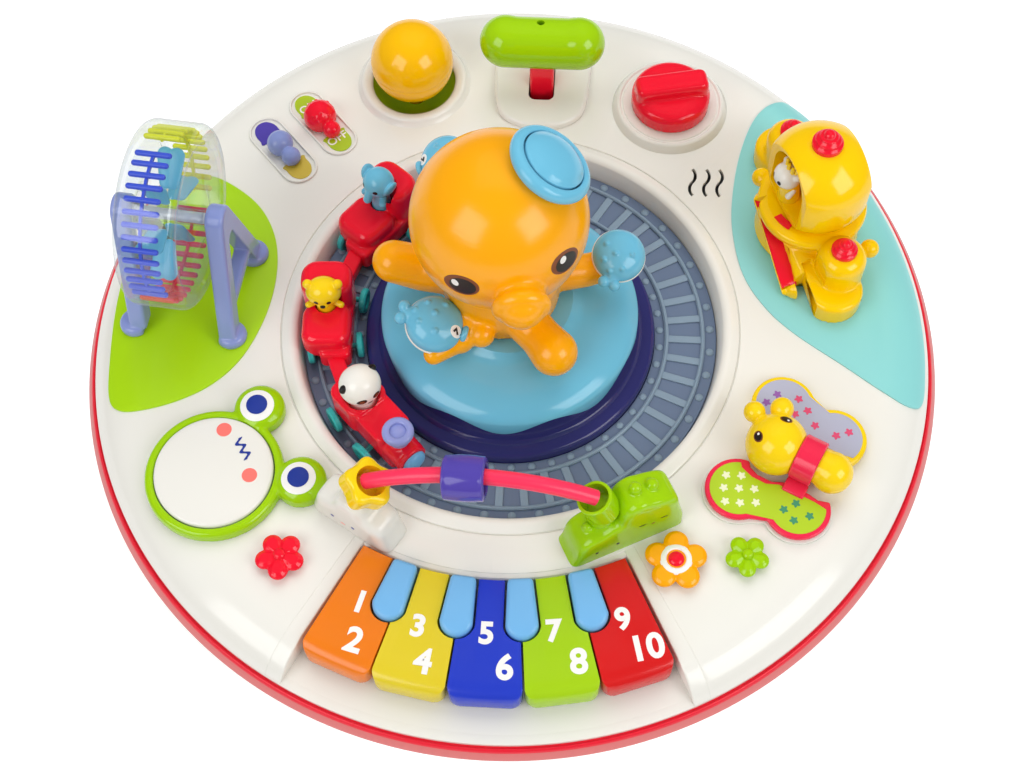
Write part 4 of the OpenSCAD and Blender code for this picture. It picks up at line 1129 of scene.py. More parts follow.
@dataclass
class Drum:
    """The clear drum between its two frames.

    Attributes:
        centre: The middle of its axle.
        yaw: Degrees that the axle is turned from X.
        radius: The drum's radius.
        half: Half its width.
    """

    centre: tuple[float, float, float] = (-175.0, 12.0, 150.0)
    yaw: float = -5.4
    radius: float = 48.0
    half: float = 15.0

    def frame(self) -> Matrix:
        """Gives the drum's own frame, with Z along its axle."""
        z = Vector((*polar(1, self.yaw), 0))
        y = Vector((0, 0, 1))
        x = y.cross(z)
        return Matrix.Translation(Vector(self.centre) * MM) @ Matrix((x, y, z)).transposed().to_4x4()

    def build(self) -> None:
        """Builds shell, bands, paddles, axle and frames."""
        base, r, h = self.frame(), self.radius, self.half
        outer = [(4.2, h + 2.6), (9.5, h + 2.6)] + curve(
            (10.5, h + 2.2), (15, h + 0.4), (18, h - 1.6), (24, h - 1.8), 6
        )
        outer += [(r - 10, h - 1.2), (r - 8.6, h + 0.2)] + arc(r - 4.6, h - 4.2, 4.6, 80, 5, 6)
        shell = outer + [(p, -q) for p, q in reversed(outer)]
        obj = cleaned(turned("shell", shell, 128))
        ready(place(obj, base @ moved(0, 0, 1.8)), "drum_glass", SHELL, "drum", "drum_shell")
        for name, first, last, finish in (
            ("blue", 78, 198, BAND_BLUE), ("yellow", -40, 71, BAND_YELLOW), ("red", 204, 314, BAND_RED)
        ):
            self.band(base, name, first, last, finish)
        paddles = []
        for i in range(6):
            a = math.radians(40 + 60 * i)
            fin = fuse(
                "fin", [bar((16, 0, -2), (30, 0, -3), 3.4, 4.4), bar((16, 0, 2), (30, 0, 3), 3.4, 4.4)], 0.8, 2
            )
            fin.data.transform(Matrix.Diagonal((1, 0.3, 1, 1)))
            paddles.append(place(fin, Matrix.Rotation(a, 4, "Z") @ moved(0, 0, -0.5)))
        ready(place(join(paddles, "paddles"), base), "drum_paddles", PADDLE, "drum", "drum_insert")
        axle = turned("axle", [(0, -27), (2.6, -27), (3, -26.6), (3, 26.6), (2.6, 27), (0, 27)], 40)
        ready(place(axle, base), "drum_axle", AXLE, "drum")
        self.frames()

    def band(self, base: Matrix, name: str, first: float, last: float, finish: Plastic) -> None:
        """Builds one toothed band inside the rim.

        Args:
            base: The drum's frame.
            name: The band's colour.
            first: The angle of its first tooth.
            last: The angle of its end.
            finish: Its plastic.
        """
        r = self.radius - 2.7
        web = [(r - 3.4, -0.7), (r - 1.4, -0.7), (r - 1.4, 0.7), (r - 3.4, 0.7)]
        parts = [turned("web", web, 60, last - first - 8, first + 2)]
        count = int((last - first) / 8.3)
        for i in range(count):
            a = math.radians(first + 4 + i * 8.3)
            tooth = bar((0, 0, -8), (0, 0, 8), 1.5)
            parts.append(place(tooth, Matrix.Rotation(a, 4, "Z") @ moved(r - 1.5, 0)))
        ready(place(join(parts, name), base), f"drum_band_{name}", finish, "drum")

    def frames(self) -> None:
        """Builds the two frames that hold the axle."""
        x0, y0, _ = self.centre
        base = moved(x0, y0, DECK) @ rotated(self.yaw)
        edge = [(-31.4, 4), (-31.2, 7)] + arc(0, 75, 8.4, 162, 18, 10) + [(31.2, 7), (31.4, 4)]
        hole = [(-21.6, 0), (-21.4, 5)] + arc(0, 59, 4.2, 162, 18, 8) + [(21.4, 5), (21.6, 0)]
        for side in (-1, 1):
            strap = carve(plate("strap", edge, -4.8, 4.8, 1.7), plate("cutter", hole, -9, 9))
            soften(strap, 1.3, 3)
            at = 26.0 if side > 0 else -23.8
            parts = [place(strap, frame_at((at, 0, 0), (1, 0, 0)))]
            for t in (-1, 1):
                foot = turned("foot", [(0, 1), (8.4, 1), (8.4, 3)] + arc(5.2, 3, 3.2, 0, 90, 5) + [(0, 6.2)], 40)
                place(foot, moved(side * 27, t * 26.5))
                parts.append(carve(foot, block((10, 30, 30), (side * 16.2, t * 26.5, 0))))
            parts.append(block((8.4, 44, 6.6), (at, 0, 21), 2))
            hub = place(
                turned("hub", [(0, -4.2), (6.6, -4.2), (7.4, -3), (7.4, 0), (0, 0)], 40),
                frame_at((at - side, 0, 75), (side, 0, 0))
            )
            parts.append(hub)
            bore = place(
                cylinder(3.1, -14, 14, 40),
                frame_at((side * (25 - 11.5), 0, 75), (1, 0, 0))
            )
            obj = fuse("stand", parts, 0.6, 3)
            carve(obj, bore)
            place(obj, base)
            ready(
                obj, f"drum_frame_{'a' if side < 0 else 'b'}", LAVENDER, "table",
                *(("drum_stands",) if side < 0 else ()), angle=60
            )


# ---------------- castle


def cap_profile(r: float, h: float) -> list[tuple[float, float]]:
    """Gives the stepped profile of a red roof."""
    profile = [(0, 0), (r, 0)] + arc(r - 0.8, h * 0.2, 0.8, -20, 80, 4)
    for wide, high in ((0.8, 0.42), (0.58, 0.64)):
        profile += arc(r * wide - 0.6, h * high, 0.7, -20, 80, 4)
    return profile + curve((r * 0.4, h * 0.74), (r * 0.36, h * 0.92), (r * 0.2, h), (0, h), 5)


@dataclass
class Castle:
    """The yellow castle: a fixed base and a tower that turns on it.

    Attributes:
        centre: The tower's axis.
        radius: The tower's largest radius.
        face: The way that its front window faces, in degrees.
    """

    centre: tuple[float, float] = (162.0, 68.0)
    radius: float = 28.6
    face: float = 203.0

    def ramp(self) -> Matrix:
        """Gives the upright frame of the stair: X up the slope, Z across."""
        lean = rotated(111) @ rotated(90, "X")
        return moved(-9.2, -44) @ lean

    def build(self) -> None:
        """Builds base, roofs, steps, tower and the bear in its windows."""
        x, y = self.centre
        home = moved(x, y, DECK + 0.95)
        ready(place(self.base(), home), "castle_walls", YELLOW, "table", "castle_base", angle=50)
        trims = [
            place(turned("roof", cap_profile(7.0, 9), 48), moved(x, y, 33.05)) for x, y in ((15, -35), (-10.5, 42))
        ]
        edge = [(3.2, 2.4)]
        for i in range(8):
            near, far = 3.2 + 5.8 * i, 9 + 5.8 * i
            edge += [(near, 5.0 + 0.447 * (near - 3.2)), (far - 1.5, 5.0 + 0.447 * (far - 3.2))]
        edge += [(49.6, 24.9), (49.6, 22)]
        trims.append(place(plate("stair", edge, -4.4, 4.4, 0.3), self.ramp()))
        trims.append(turned("step", [(20.6, 29.5), (24.9, 29.5), (24.9, 30.3), (20.6, 30.3)], 12, 25, 211.5))
        ready(place(join(trims, "trim"), home), "castle_roofs", RED, "table", "castle_trim")
        self.tower(home)

    def wedge(self) -> Piece:
        """Builds the block under the stair, whose outer side leans inwards."""
        obj = plate("ramp", [(0, 0), (0, 4), (50, 26.4), (55, 23), (57, 0)], -5.8, 6, 0.8)
        for vertex in obj.data.vertices:
            x, y, z = vertex.co / MM
            if z < 0:
                vertex.co.z = min(z + 0.7 * max(0.0, 4 + 0.447 * x - y), 4.5) * MM
        return obj

    def base(self) -> Piece:
        """Builds the base with its collar, small towers, lobes and ramp."""
        parts = [
            turned("collar", [
                (0, 0), (27, 0), (29, 4), (28, 14), (26, 20), (29, 22.5), (30, 26), (29, 28.4), (25, 29.4), (0, 29.4)
            ], 96)
        ]
        for x, y in ((15, -35), (-10.5, 42)):
            tower = turned(
                "tower", [(0, 0), (13, 0), (13.3, 12), (13.3, 25)] + arc(5.3, 25, 8, 0, 90, 8) + [(0, 33)], 64
            )
            parts.append(place(tower, moved(x, y)))
        for x, y in ((13, -45), (-13, 47)):
            lobe = turned("lobe", [(0, 0), (15.5, 0), (15.6, 10)] + arc(12.6, 10, 3, 0, 90, 5) + [(0, 13)], 64)
            parts.append(place(lobe, moved(x, y)))
        parts += [
            bar((-3, 20, 9), (-10.5, 42, 9), 7), bar((18, -32, 20), (29.6, -25.6, 20.9), 3.2),
            ball((31, -25, 21), 5.2), ball((-27, 17, 24), 5.4),
            place(self.wedge(), self.ramp()),
            bar((-7, -41, 3), (3, -44, 7), 6), bar((1, -35, 4), (-6, -20, 8), 11.5),
        ]
        cuts = [plate("cutter", [(-80, -80), (80, -80), (80, 80), (-80, 80)], -20, 0.02)]
        for at, turn, size, spot in (
            ((13, -45), 198, (6, 24, 16), (16, 0, 7)), ((13, -45), 198, (6, 17, 8.6), (12.5, 0, 6.3)),
            ((15, -35), 203, (6, 20, 16), (14.8, 0, 21.5)), ((15, -35), 203, (6, 12.8, 8), (13, 0, 18.5)),
        ):
            cuts.append(place(block(size, spot, 0.6), frame_at((*at, 0), turn=turn)))
        well = place(
            plate("cutter", [(2.4, 3.4), (50, 24.7), (48, 29.4), (24, 19), (1.6, 9)], -4.7, 4.7), self.ramp()
        )
        return fuse("castle", parts, 0.7, 3, cuts + [well])

    def tower(self, home: Matrix) -> None:
        """Builds the turning tower with its cap, window bears and a sheet of painted shade in each niche.

        Args:
            home: The frame at the tower's foot on the deck.
        """
        r = self.radius
        profile = [(0, 30.6), (18, 30.6)] + curve((20, 31), (26, 33), (r, 37), (r, 46), 8)
        profile += curve((r, 60), (26.6, 68), (18, 75), (8, 79), 14) + [(0, 79.4)]
        obj = turned("tower", profile, 128)
        home = home @ rotated(self.face)
        carve(obj, block((37.6, 80, 80), (0, 0, 55)), keep="INTERSECT")
        for turn in (0, 180):
            arch = [(-16.8, 35.6), (16.8, 35.6)] + arc(0, 55.2, 16.8, 0, 180, 24)
            niche = place(plate("cutter", arch, 7, 30, 1.5), frame_at((0, 0, 0), (1, 0, 0)))
            carve(obj, place(niche, rotated(turn)))
        soften(obj, 0.8, 4, 42)
        ready(place(obj, home), "tower_wall", YELLOW, "tower", "castle_tower", angle=42)
        # Painted shade: a darker orange sheet on the back wall of each window niche stands in for the shade inside
        # it.
        for u in (7.3, -7.3):
            ready(
                place(plate("lining", arch, u - 0.2, u + 0.2), home @ frame_at((0, 0, 0), (1, 0, 0))),
                f"tower_lining_{'a' if u > 0 else 'b'}", AMBER, "tower"
            )
        roof = place(turned("roof", cap_profile(8.2, 11), 64), home @ moved(0, 0, 79))
        ready(roof, "tower_roof", RED, "tower")
        for turn, name in ((0, "front"), (180, "back")):
            spin = home @ rotated(turn) @ moved(0, -3.6)
            head = fuse("head", [
                ball((17.4, 0, 55.4), 7.2, (1, 1.08, 0.94)), ball((15.2, 6.4, 60), 2.0),
                ball((15.2, -6.6, 60), 2.0)
            ], 0.5, 2)
            ready(place(head, spin), f"window_bear_{name}", PANDA_WHITE, "tower")
            body = fuse("body", [bar((14, 0, 37), (15, 0, 49), 6.2, 5.2)], 0.6, 2)
            ready(place(body, spin), f"window_bear_{name}_coat", BEAR_YELLOW, "tower")
            arms = join([bar((15, t * 4.8, 46.4), (17.6, t * 5.4, 43.4), 1.7) for t in (-1, 1)], "arms")
            ready(place(arms, spin), f"window_bear_{name}_arms", PANDA_WHITE, "tower")
            crown = join([
                bar(
                    (15 + 2.6 * math.cos(a), 4 * math.sin(a), 60.6),
                    (14.8 + 3 * math.cos(a), 4.6 * math.sin(a), 65), 1.3, 1.1
                )
                for a in (i * math.tau / 8 for i in range(8))
            ], "crown")
            ready(place(crown, spin), f"window_bear_{name}_crown", BEAR_YELLOW, "tower")
            for i, (y, z, size) in enumerate(((3.2, 55.6, 1.2), (-3.2, 55.6, 1.2), (0, 53.2, 0.9))):
                shape = printed(disc(size, size * 1.2, 1, 20), head, spin @ frame_at((30, y, z), (1, 0, 0)), 0.08)
                ready(shape, f"window_bear_{name}_dot_{i}", BLACK, "tower")


# ---------------- arch


@dataclass
class Arch:
    """The arched tube with its bead, cloud, star and hills.

    Attributes:
        left: The tube's left end.
        right: Its right end.
        rise: How far it rises between them.
        tube: Its radius.
        bead_turn: Where the bead rests, in degrees from the top.
    """

    left: tuple[float, float, float] = (-57.0, -117.0, 119.0)
    right: tuple[float, float, float] = (48.0, -121.0, 119.0)
    rise: float = 13.0
    tube: float = 4.0
    bead_turn: float = 5.0

    def frame(self) -> tuple[Matrix, float, float]:
        """Gives the arch's frame, its radius and its half angle."""
        a, b = Vector(self.left), Vector(self.right)
        half = (b - a).length / 2
        radius = (half * half + self.rise**2) / (2 * self.rise)
        middle = (a + b) / 2 + Vector((0, 0, self.rise - radius))
        yaw = math.atan2(b.y - a.y, b.x - a.x)
        base = Matrix.Translation(middle * MM) @ Matrix.Rotation(yaw, 4, "Z") @ rotated(90, "X")
        return base, radius, math.degrees(math.asin(half / radius))

    def build(self) -> None:
        """Builds tube, bead and both stands."""
        base, radius, end = self.frame()
        ring = [(radius + p, q) for p, q in arc(0, 0, self.tube, 0, 345, 23)]
        ready(place(turned("tube", ring, 64, 2 * end + 5, 89 - end), base), "arch_rod", TUBE, "table", "arch_tube")
        bead = [(7.6, 0.6), (8.2, 0), (9.6, 0.1)] + arc(10.2, 1.4, 0.9, -60, 20, 4) + curve(
            (11.1, 3), (11.7, 8), (11.7, 13), (11.1, 18), 8
        )
        bead += arc(10.2, 19.6, 0.9, -20, 60, 4) + [(9.6, 20.9), (8.2, 21), (7.6, 20.4)]
        obj = turned("bead", bead, 72)
        spin = base @ rotated(self.bead_turn) @ moved(0, radius - 3) @ rotated(90, "Y") @ moved(0, 0, -10.5)
        ready(place(obj, spin), "bead_ring", PURPLE, "bead", "arch_bead")
        self.cloud()
        self.star()
        self.hills()

    def slab(self, name: str, edge: Sequence[Point], half: float, *more: Piece) -> Piece:
        """Builds an upright slab with round edges from its silhouette.

        Args:
            name: The object's name.
            edge: Its silhouette, as place along it and height.
            half: Half its thickness.
            more: Pieces that melt into it.

        Returns:
            The slab, cut off level with the deck.
        """
        core = place(plate(name, smoothed(edge, 4), -half, half, 6.6), frame_at((0, 0, 0), (0, -1, 0)))
        floor = plate("cutter", [(-60, -60), (60, -60), (60, 60), (-60, 60)], -30, 0.05)
        return carve(fuse(name, [fuse(name, [core], 0.6, 60), *more], 0.6, 6), floor)

    def cloud(self) -> None:
        """Builds the white cloud with its small face."""
        base = frame_at((-70, -119, DECK), turn=-31)
        edge = [
            (-22.5, -8), (-22.5, 10), (-19, 18), (-12, 20.6), (-9, 24), (-6, 29), (0.5, 31), (7.4, 29), (10.4, 23.6)
        ]
        edge += [(13, 21.2), (19.4, 18.4), (22.2, 11), (22, -8)]
        obj = place(self.slab("cloud", edge, 9.6), base)
        ready(obj, "cloud_body", WHITE, "table", "cloud_stand", angle=60)
        for i, (x, rx, ry) in enumerate(((-9.5, 1.1, 1.1), (3.4, 1.1, 1.1), (-3, 1.6, 0.4))):
            shape = printed(
                disc(rx, ry, 1, 20), obj, base @ frame_at((x, -24, 8.5 if i < 2 else 6.4), (0, -1, 0)), 0.08, 40
            )
            ready(shape, f"cloud_dot_{i}", EYE_BLUE if i < 2 else BLUSH, "table")

    def star(self) -> None:
        """Builds the yellow star-shaped socket."""
        way = Vector((0.45, -0.05, 0.88)).normalized()
        centre = (-63.6, -117, 111.2)
        outline = []
        for a in (math.radians(6 * i) for i in range(60)):
            reach = 12.2 + 1.3 * math.cos(5 * a)
            outline.append((reach * math.cos(a), reach * math.sin(a)))
        obj = place(plate("star", outline, -6.5, 7, 3), frame_at(centre, way, 20))
        obj = fuse("star", [obj, bar((-69, -117, 100), (-66, -117, 106), 8, 9)], 0.5, 4)
        hole = place(turned("cutter", [(0, -3), (6.4, -3), (8.2, 9), (0, 9)], 40), frame_at(centre, way))
        carve(obj, hole)
        ready(obj, "star_cup", BEAR_YELLOW, "table", "star_socket", angle=50)

    def hills(self) -> None:
        """Builds the green hills and the cup for the tube's right end."""
        base = frame_at((63, -119, DECK), turn=27)
        edge = [
            (-28, -8), (-28.4, 6), (-26, 16), (-20, 21), (-14, 22), (-9, 25), (-4.6, 27), (-3, 34), (1, 40), (7, 42)
        ]
        edge += [(12, 40), (18.5, 37.8), (25, 34), (28, 26), (28, -8)]
        knobs = [ball((7, 1, 43), 3.4), ball((16, 1, 39), 3.6), ball((-19, 0, 21.4), 2.6)]
        hills = place(self.slab("hills", edge, 10, *knobs), base)
        ready(hills, "hill_body", LIME, "table", "hill_stand", angle=60)
        for i, (x, z, rx, ry) in enumerate(
            ((7, 20, 2.0, 0.45), (19, 20, 2.0, 0.45), (13, 17.5, 1.0, 0.5), (-17.5, 8, 0.9, 1.0), (-6, 9.5, 0.9, 1.0))
        ):
            shape = printed(disc(rx, ry, 1, 20), hills, base @ frame_at((x, -26, z), (0, -1, 0)), 0.08, 40)
            ready(shape, f"hill_dot_{i}", BROWN if i == 2 else BLACK, "table")
        low, high = Vector((54, -121, 105)), Vector((48.8, -121, 118))
        way = (high - low).normalized()
        cup = fuse("cup", [
            bar((52, -121, 92), (53.5, -121, 106), 7, 8.4), bar(low, high, 9.0, 9.2, caps=False),
            bar((52, -114, 106), (50.5, -113.4, 113), 2.4, 2.2)
        ], 0.5, 4)
        hole = place(turned("cutter", [(0, 5), (6.4, 5), (7.8, 16), (0, 16)], 40), frame_at(low, way))
        carve(cup, hole)
        ready(cup, "hill_cup", LIME, "table", angle=50)


# ---------------- frog, flowers, book


@dataclass
class Buttons:
    """The frog, the three flowers and the bear with its book.

    Attributes:
        frog: The centre of the frog's pad.
        bear: The centre of the bear's head.
        bear_turn: The direction of the bear's body, in degrees.
    """

    frog: tuple[float, float] = (-147.5, -100.7)
    bear: tuple[float, float] = (141.8, -73.8)
    bear_turn: float = -26.3

    def build(self) -> None:
        """Builds all the buttons and the book."""
        self.frog_pieces()
        self.flower("red", (-107.8, -144.3), 5.2, 7.6, -90, RED)
        self.flower("orange", (91.6, -136.4), 6.4, 9.8, 90, AMBER)
        self.flower("green", (127.3, -131.9), 4.5, 6.9, -90, LIME)
        self.book()

    def frog_pieces(self) -> None:
        """Builds the frog's frame, eyes, pad and printed face."""
        x, y = self.frog
        home = moved(x, y)
        ring = [(31.4, 75.05), (31.4, 81)] + arc(32.2, 81.2, 0.8, 170, 95, 4)
        ring += arc(33.4, 79.4, 2.8, 85, 5, 8) + [(36.4, 75.05)]
        parts = [place(turned("ring", ring, 128), home)]
        eyes = ((-128.8, -62.0), (-102.0, -102.5))
        for ex, ey in eyes:
            dome = [(0, 75.05), (13.4, 75.05), (13.4, 78.5)] + curve((13.3, 81), (11.5, 84.5), (6, 86.6), (0, 87), 10)
            parts.append(place(turned("eye", dome, 72), moved(ex, ey)))
        obj = fuse(
            "frog", parts, 0.7, 3, [place(cylinder(31.4, 60, 95, 128), home)]
        )
        ready(obj, "frog_ring", LIME, "table", "frog_frame", angle=50)
        for i, (ex, ey) in enumerate(eyes):
            for part, r, finish, lift in (("white", 9.0, INK_WHITE, 0.15), ("pupil", 5.6, EYE_BLUE, 0.4)):
                shape = printed(disc(r, r, 3, 48), obj, frame_at((ex - 0.6, ey - 0.8, 100)), lift)
                ready(shape, f"frog_eye_{i}_{part}", finish, "table")
        pad = [(0, 77.4), (30.6, 77.4), (31, 78)] + arc(29.4, 82, 1.6, 0, 80, 5) + [(27, 84), (0, 84.6)]
        pad_obj = ready(place(turned("pad", pad, 128), home), "frog_face", WHITE, "frog", "frog_pad")
        for i, (cx, cy) in enumerate(((-145.0, -77.3), (-128.2, -102.6))):
            shape = printed(disc(4, 4, 1, 32), pad_obj, frame_at((cx, cy, 95)), 0.06)
            ready(shape, f"frog_cheek_{i}", BLUSH, "frog")
        smile = self.smile()
        printed(smile, pad_obj, frame_at((-133.6, -87.8, 95), turn=30), 0.06)
        ready(smile, "frog_mouth", EYE_BLUE, "frog")

    def smile(self) -> Piece:
        """Draws a wavy mouth as a flat ribbon."""
        centre = [(-6.5 + 13 * i / 28, 1.6 * math.cos(i / 28 * math.tau * 2.5)) for i in range(29)]
        edge = [(x, y + 1.05) for x, y in centre] + [(x, y - 1.05) for x, y in reversed(centre)]
        obj = loop_of(edge, True)
        obj.data.transform(rotated(-86))
        return obj

    def flower(self, name: str, at: Point, petal: float, reach: float, turn: float, finish: Plastic) -> None:
        """Builds one flower button.

        Args:
            name: Its colour.
            at: Its centre on the deck.
            petal: The radius of a petal.
            reach: How far the petals stand from the middle.
            turn: The direction of one petal.
            finish: Its plastic.
        """
        body = f"{name}_flower"
        parts = [bar((0, 0, 3.8), (0, 0, 4.4), reach * 0.8, caps=False)]
        for i in range(5):
            a = turn + 72 * i
            parts.append(ball((*polar(reach, a), 4.4), petal, (1, 1, 0.5)))
            parts.append(bar((*polar(0.4 * reach, a), 4.0), (*polar(reach, a), 4.0), petal * 0.62, petal * 0.8))
        obj = fuse(name, parts, 0.45, 3)
        for vertex in obj.data.vertices:
            vertex.co.z = max(2.4 * MM, min(vertex.co.z, 7.0 * MM))
        home = moved(*at, DECK)
        obj = join([obj, cylinder(3, -12, 4, 32)], name)
        ready(place(obj, home), f"flower_{name}_petals", finish, body, f"flower_{name}", angle=60)
        dome = [(0, 5), (reach * 0.42, 5)] + curve(
            (reach * 0.42, 7), (reach * 0.4, 8.6), (reach * 0.2, 9.2), (0, 9.2), 6
        )
        heart = RED if name == "orange" else finish
        ready(place(turned("dome", dome, 40), home), f"flower_{name}_heart", heart, body)
        if name == "orange":
            ring = [(5.0, 6.0), (5.0, 7.4), (5.6, 7.8), (7.4, 7.4), (8.2, 6.6), (8.2, 6.0)]
            ready(place(turned("ring", ring, 64), home), "flower_orange_ring", INK_WHITE, body)

    def lobes(self, side: int, grow: float) -> list[tuple[float, float]]:
        """Gives the outline of one two-lobed page in the bear's frame.

        Args:
            side: 1 for the page at the front, -1 for the one behind.
            grow: How much wider than the page it is.

        Returns:
            The outline's points.
        """
        points = arc(-7.5, -27.5, 17 + grow, 95, 315, 26) + arc(23.8, -22.6, 17 + grow, 232, 400, 22)
        points += [(31, -13.5), (25, -12.5), (12, -12.5), (6, -15.5), (-2, -15.5), (-7, -13.5)]
        return [(x, y * side) for x, y in (points if side > 0 else reversed(points))]

    def book(self) -> None:
        """Builds the bear, its wing page, the red page and their prints."""
        base = frame_at((self.bear[0], self.bear[1], DECK + 14), turn=self.bear_turn)
        flat = base @ moved(0, 0, -14)
        tray = plate("tray", self.lobes(1, 1.2), 0.05, 1.6, 0.5)
        ready(place(tray, flat), "book_tray", WHITE, "table", "book_base")
        parts = [
            ball((0, 0, 0.5), 16.2, (1, 1, 0.98)), bar((8, 0, 0), (28, 0, 0), 9.7), ball((31, 0, -1), 11.0),
            ball((-6, 18, 4), 6.2), ball((-17.5, 9, 5), 5.7)
        ]
        bear = place(fuse("bear", parts, 0.6, 3), base)
        floor = plate("cutter", [(60, -160), (240, -160), (240, 40), (60, 40)], 40, DECK + 0.05)
        groove = place(
            turned("cutter", [(9.85, 11.7), (30, 11.7), (30, 24.3), (9.85, 24.3)], 64), base @ rotated(90, "Y")
        )
        carve(bear, floor, groove)
        ready(bear, "bear_body", BEAR_YELLOW, "table", "book_bear", angle=50)
        for side, (x, y, z) in (("a", (-0.5, 9.0, 14.5)), ("b", (-9.5, -6.5, 12.5))):
            way = Vector((x, y, z)).normalized()
            start = base @ frame_at(way * 24, way, 20)
            for part, rx, ry, shift, finish, lift in (
                ("rim", 3.3, 2.7, 0, BROWN, 0.06), ("pupil", 2.5, 2.1, 0, BLACK, 0.14),
                ("glint", 0.7, 0.7, -0.9, INK_WHITE, 0.22)
            ):
                shape = disc(rx, ry, 2, 28)
                shape.data.transform(moved(shift, -shift))
                ready(printed(shape, bear, start, lift), f"bear_eye_{side}_{part}", finish, "table")
        wing = plate("wing", self.lobes(-1, 0), 0.05, 5.5, 1.6)
        ready(place(wing, flat), "bear_wing", BEAR_YELLOW, "table")
        card = plate("card", self.inset_outline(-1), 5.3, 5.75, 0.1)
        ready(
            place(card, flat), "wing_card",
            Plastic("card_grey", (178, 180, 200), Shine.PRINT, 0.04, slot="yellow_plastic"), "table"
        )
        page = plate("page", self.lobes(1, 0), 2.2, 5.2, 1.0)
        ring = turned(
            "ring", [(9.98, 12.1), (11.6, 12.0), (12.2, 12.6), (12.2, 23.4), (11.6, 24.0), (9.98, 23.9)], 64
        )
        place(ring, moved(0, 0, 14) @ rotated(90, "Y"))
        tongue = block((12, 8, 4.4), (18, -13.5, 4.6), 1.0)
        carve(page, ball((0, 0, 14.5), 17.4))
        ready(place(join([page, ring, tongue], "page"), flat), "page_red", ROSE, "page", "book_page", angle=40)
        field = plate("field", self.inset_outline(1), 5.1, 5.45, 0.1)
        carve(field, ball((0, 0, 14.5), 18.6))
        ready(
            place(field, flat), "page_field",
            Plastic("page_lime", (178, 208, 30), Shine.PRINT, 0.06, slot="red_plastic"), "page"
        )
        self.prints(flat)

    def inset_outline(self, side: int) -> list[tuple[float, float]]:
        """Gives the outline of a page's printed field."""
        points = arc(-7.5, -27.5, 14.6, 110, 312, 24) + arc(23.8, -22.6, 14.4, 236, 385, 20)
        points += [(30, -15.6), (24, -15.6), (10, -15.6), (4, -18.4), (-4, -18.4), (-11, -16)]
        return [(x, y * side) for x, y in (points if side > 0 else reversed(points))]

    def prints(self, flat: Matrix) -> None:
        """Lays plain coloured shapes on both pages.

        Args:
            flat: The bear's frame at the deck.
        """
        inks = [
            Plastic(f"ink_{name}", colour, Shine.PRINT, slot=f"{slot}_plastic") for name, colour, slot in (
                ("cream", (236, 240, 200), "red"), ("leaf", (70, 150, 110), "red"),
                ("plum", (150, 96, 170), "yellow"), ("rose", (226, 80, 120), "yellow"),
            )
        ]
        rows = (
            ("page", 5.45, (
                (-16, -24), (-9, -20.5), (-14, -31), (-7, -27.5), (0, -24), (-10, -37.5), (-3, -34.5), (4, -30.5),
            )), ("page", 5.45, ((18, -27), (25, -30), (31, -24), (22, -21))),
            ("wing", 5.75, ((-16, 24), (-9, 21), (-13, 31), (-6, 28))),
            ("wing", 5.75, ((0, 25), (5, 30), (-2, 34), (12, 24), (24, 24), (29, 29))),
        )
        for i, (kind, z, spots) in enumerate(rows):
            parts = []
            for x, y in spots:
                outline = [
                    (x + (1.9 + 0.5 * math.cos(5 * a)) * math.cos(a), y + (1.9 + 0.5 * math.cos(5 * a)) * math.sin(a))
                    for a in (k * math.tau / 40 for k in range(40))
                ]
                parts.append(plate("mark", outline, z - 0.02, z + 0.14))
            ready(
                place(join(parts, "marks"), flat), f"{kind}_marks_{i}", inks[i], "page" if kind == "page" else "table"
            )


# ---------------- controls


